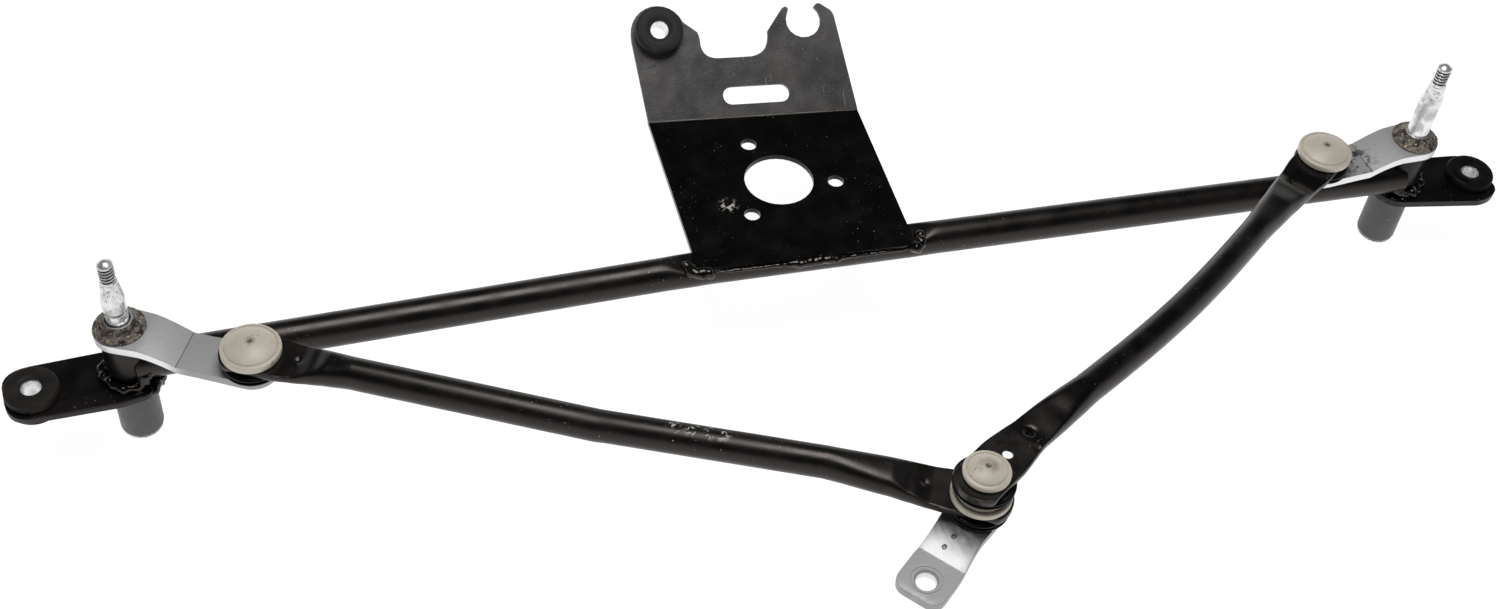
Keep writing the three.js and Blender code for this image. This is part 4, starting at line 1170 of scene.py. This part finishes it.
# ---------- Stage ----------
def floor(height):
    """A pale floor that glows a little, so that it stays white under the soft light."""
    bpy.ops.mesh.primitive_circle_add(vertices=96, radius=9.0, fill_type="NGON", location=(0.4, 0, height))
    piece = bpy.context.object
    piece.name = "floor"
    shader = Shader("pale_floor", 0.9)
    shader.set("Base Color", shader.mix(shader.noise(3, 2), grey(0.16), grey(0.18)))
    shader.set("Specular IOR Level", 0.0)
    shader.set("Emission Color", (1.0, 1.0, 1.0, 1.0))
    shader.set("Emission Strength", 0.97)
    piece.data.materials.append(shader.material)


def soft_light(name, place, target, size, power):
    data = bpy.data.lights.new(name, "AREA")
    data.shape = "RECTANGLE"
    data.size, data.size_y = size
    data.energy = power
    light = added(name, data)
    light.location = place
    light.rotation_euler = (target - place).to_track_quat("-Z", "Y").to_euler()


def sky():
    """Bright near the horizon and dim higher up, as in a studio with white walls low down."""
    world = bpy.data.worlds.new("studio")
    bpy.context.scene.world = world
    world.use_nodes = True
    tree = world.node_tree
    direction = tree.nodes.new("ShaderNodeTexCoord")
    split = tree.nodes.new("ShaderNodeSeparateXYZ")
    ramp = tree.nodes.new("ShaderNodeValToRGB")
    tree.links.new(direction.outputs["Generated"], split.inputs[0])
    tree.links.new(split.outputs["Z"], ramp.inputs["Fac"])
    stops = [(0.0, 1.0), (0.2, 0.7), (0.36, 0.1), (0.6, 0.02), (0.88, 0.03), (1.0, 0.1)]
    elements = ramp.color_ramp.elements
    elements[0].position, elements[1].position = stops[0][0], stops[-1][0]
    for position, value in stops[1:-1]:
        elements.new(position)
    for element, (position, value) in zip(elements, stops):
        element.color = (value, value, value, 1)
    tree.links.new(ramp.outputs["Color"], tree.nodes["Background"].inputs["Color"])


VIEW_ANGLES = (19.71, 48.10, -6.1995)  # heading, elevation and roll, in degrees
VIEW_FROM = Vector((0.078, -0.6942, 0.8095))  # from the foot of the left pivot, in metres
LENS = 48.17


def camera():
    """Looks down at the assembly from in front and slightly from the left."""
    heading, elevation, roll = (math.radians(angle) for angle in VIEW_ANGLES)
    data = bpy.data.cameras.new("camera")
    data.sensor_width = 36
    data.lens = LENS
    eye = added("camera", data)
    level = math.cos(elevation)
    forward = Vector((math.sin(heading) * level, math.cos(heading) * level, -math.sin(elevation)))
    right = Vector((math.cos(heading), -math.sin(heading), 0))
    down = forward.cross(right)
    view_right = right * math.cos(roll) + down * math.sin(roll)
    view_down = down * math.cos(roll) - right * math.sin(roll)
    axes = Matrix((view_right, -view_down, -forward)).transposed().to_4x4()
    eye.matrix_world = Matrix.Translation(at_height(PIVOTS["left"], 0) + VIEW_FROM) @ axes
    bpy.context.scene.camera = eye


# ---------- Assembly ----------
def painted_bracket(flange, plate, gloss):
    """The bracket's flat plate is glossy black; its upright flange is worn. Edges are a little glossier."""
    piece = repaint("motor_bracket", [flange, plate, gloss], 0.5, 2)
    for face in piece.data.polygons:
        level = abs(face.normal.z) > 0.98
        low_down = face.center.z < BRACKET_LOW.z + 0.0045
        face.material_index = 1 if level or low_down else 0
    piece.modifiers["DECIMATE"].delimit = {"MATERIAL"}


def chipped_run():
    """Chips in the left link's paint: a short run of places along its top, each with its reach."""
    rod_top = (top("left_joint_seal") + top("middle_lower_seal")) / 2 + (2 * ROD_FLAT + ROD_RADIUS) * MM
    places = [BALLS["left"].lerp(MIDDLE_BALL, share) for share in (0.59, 0.615, 0.64, 0.655)]
    return [(Vector((place.x, place.y + 0.001, rod_top)), 0.0055) for place in places]


def paints():
    """Black paint by where it is, since each part has its own gloss and chips."""
    plate_chip = Vector((lerp(BRACKET_LOW.x, BRACKET_HIGH.x, 0.24), 0.0435, BRACKET_LOW.z + SHEET * MM))
    return {
        "tube": black_paint("black_paint"),
        "left_rod": black_paint("black_paint_left_rod", chipped_run()),
        "right_rod": black_paint("black_paint_right_rod", gloss=0.27, shine=0.4),
        "weld": black_paint("black_paint_weld", gloss=0.17, shine=0.5),
        "ear": black_paint("black_paint_ear", gloss=0.33, shine=0.35),
        "plate": black_paint("black_paint_plate", [(plate_chip, 0.007)], gloss=0.24, shine=0.3),
        "edges": black_paint("black_paint_edges", dark=0.002, gloss=0.16),
        "flange": flange_paint(),
    }


def bearings(side, washer_steel, bronze):
    for part in ("thrust_washer", "lower_washer", "retaining_clip"):
        repaint(f"{side}_{part}", [washer_steel], 0.15)
    for part in ("upper_bushing", "lower_bushing"):
        repaint(f"{side}_{part}", [bronze], 0.2)
    repaint(f"{side}_ball_stud", [washer_steel], 0)


def frame_and_shafts(paint, steel, washer_steel):
    """The tube, its bracket and welds, then each wiper's ear, housing, bearings and shaft."""
    dark_steel = housing_steel()
    collar_steel = staked_steel()
    root_shade = shaded_steel()
    bronze = sintered_bronze()
    frame_tube(paint["tube"])
    painted_bracket(paint["flange"], paint["plate"], paint["edges"])
    bracket_welds(paint["weld"])
    for side, neck_groove in (("left", 33.0), ("right", 0)):
        repaint(f"{side}_mounting_ear", [paint["ear"]], 0.6)
        housing(side, [dark_steel, steel, paint["ear"]])
        housing_weld(side, paint["weld"])
        bearings(side, washer_steel, bronze)
        wiper_shaft(side, neck_groove, steel, root_shade)
        collar(side, collar_steel, steel)


def levers_and_crank():
    """The zinc plates. The right lever is smudged near its ball. The crank has painted shade round its hub and a
    painted highlight at its fold, and the cut edges have painted highlights near the hubs and the crank hole.
    """
    left_hub = at_height(PIVOTS["left"], top("left_lever"))
    right_hub = at_height(PIVOTS["right"], top("right_lever"))
    # painted highlights on the cut edges near both hubs and on the wall of the crank hole
    edge = sheared_edge([(left_hub, 0.028, 0.042), (right_hub, 0.075, 0.085), (CRANK_HOLE, 0.009, 0.011)])
    smudge = at_height(BALLS["right"].lerp(PIVOTS["right"], 0.36), top("right_lever") - JOGGLE * MM)
    # where the crank gets painted shade round its hub, under the seal
    hub = (at_height(MIDDLE_BALL, top("motor_crank")), 0.016, 0.033)
    towards_hole = at_height(CRANK_HOLE - MIDDLE_BALL, 0).normalized()
    # the crank's fold, where its painted highlight is brightest
    fold = at_height(MIDDLE_BALL + towards_hole * CRANK_BEND[1] * MM, top("motor_crank") - JOGGLE * MM)
    zinc = zinc_plate()
    stained_zinc = zinc_plate([(smudge, 0.017)])
    # painted shade along the levers' folds
    crease = fold_shade_zinc()
    lever("left", [zinc, edge, crease, zinc])
    lever("right", [stained_zinc, edge, crease, stained_zinc])
    crank([zinc_plate(hub=hub), edge, zinc, zinc_with_fold_highlight(hub, (fold, 0.008, 0.017))])


def sockets_and_seals():
    left, right = BALLS["left"], BALLS["right"]
    left_nylon = nylon("nylon_left", at_height(left, top("left_joint_socket")), 0.0016)
    right_nylon = nylon("nylon_right", at_height(right, top("right_joint_socket")), 0.0016)
    middle_nylon = nylon("nylon_middle", at_height(MIDDLE_BALL, top("middle_upper_socket")), 0.0032)
    left_sizes = (CAP_RADIUS, CAP_NECK, 6.5, 3.7)
    middle_sizes = (11.6, 7.2, 5.0, 3.5)
    close_socket("left_socket_cap", "left_joint_socket", left, left_sizes, left_nylon, "left_rod")
    roomy_socket("right_socket_cap", "right_joint_socket", right, right_nylon, "right_rod")
    close_socket(
        "middle_upper_cap", "middle_upper_socket", MIDDLE_BALL, middle_sizes, middle_nylon, "right_rod"
    )
    open_socket("middle_lower_cap", "middle_lower_socket", MIDDLE_BALL, middle_nylon, "left_rod")
    soft = rubber("seal_rubber", (0.002, 0.002, 0.002), 0.2, 0.25)
    for place, ball, inner, body in (
        ("left", left, 9.3, "left_rod"),
        ("right", right, 9.3, "right_rod"),
        ("middle_upper", MIDDLE_BALL, 8.0, "right_rod"),
        ("middle_lower", MIDDLE_BALL, 9.3, "left_rod"),
    ):
        node = f"{place}_joint_seal" if place in BALLS else f"{place}_seal"
        seal(f"{place}_ball_seal", node, ball, inner, soft, body)


def grommets(steel):
    ear_low, ear_high = bottom("left_mounting_ear") / MM, top("left_mounting_ear") / MM
    tall = top("left_grommet_sleeve") / MM
    rubbers = {"left": rubber(), "right": rubber("black_rubber", (0.003, 0.003, 0.003), 0.5, 0.1)}
    for side, material in rubbers.items():
        place = upright(centre(f"{side}_grommet_sleeve"))
        grommet_pair(side, place, ear_low, ear_high, tall, material, steel)
    tall = 17.2
    material = rubber("dark_rubber", (0.014, 0.013, 0.0125), 0.55)
    grommet_pair("bracket", shifted(flange_place(), 0, 0, -tall / 2), 6.0, 6.0 + SHEET, tall, material, steel)


def assembly():
    paint = paints()
    steel = bright_steel()
    washer_steel = bright_steel("washer_steel", 0.2)
    frame_and_shafts(paint, steel, washer_steel)
    levers_and_crank()
    repaint("double_ball_stud", [washer_steel], 0)
    left_link(paint["left_rod"])
    right_link(paint["right_rod"])
    sockets_and_seals()
    grommets(steel)


camera()
sky()
view = bpy.context.scene.view_settings
view.view_transform = "Standard"
view.look = "None"
floor(cad_bounds[0].z - 0.0005)
above = Vector((0.36, 0.02, 1.25))
soft_light("overhead_softbox", above, Vector((0.36, 0.0, 0.0)), (0.75, 0.62), 11.0)
assembly()
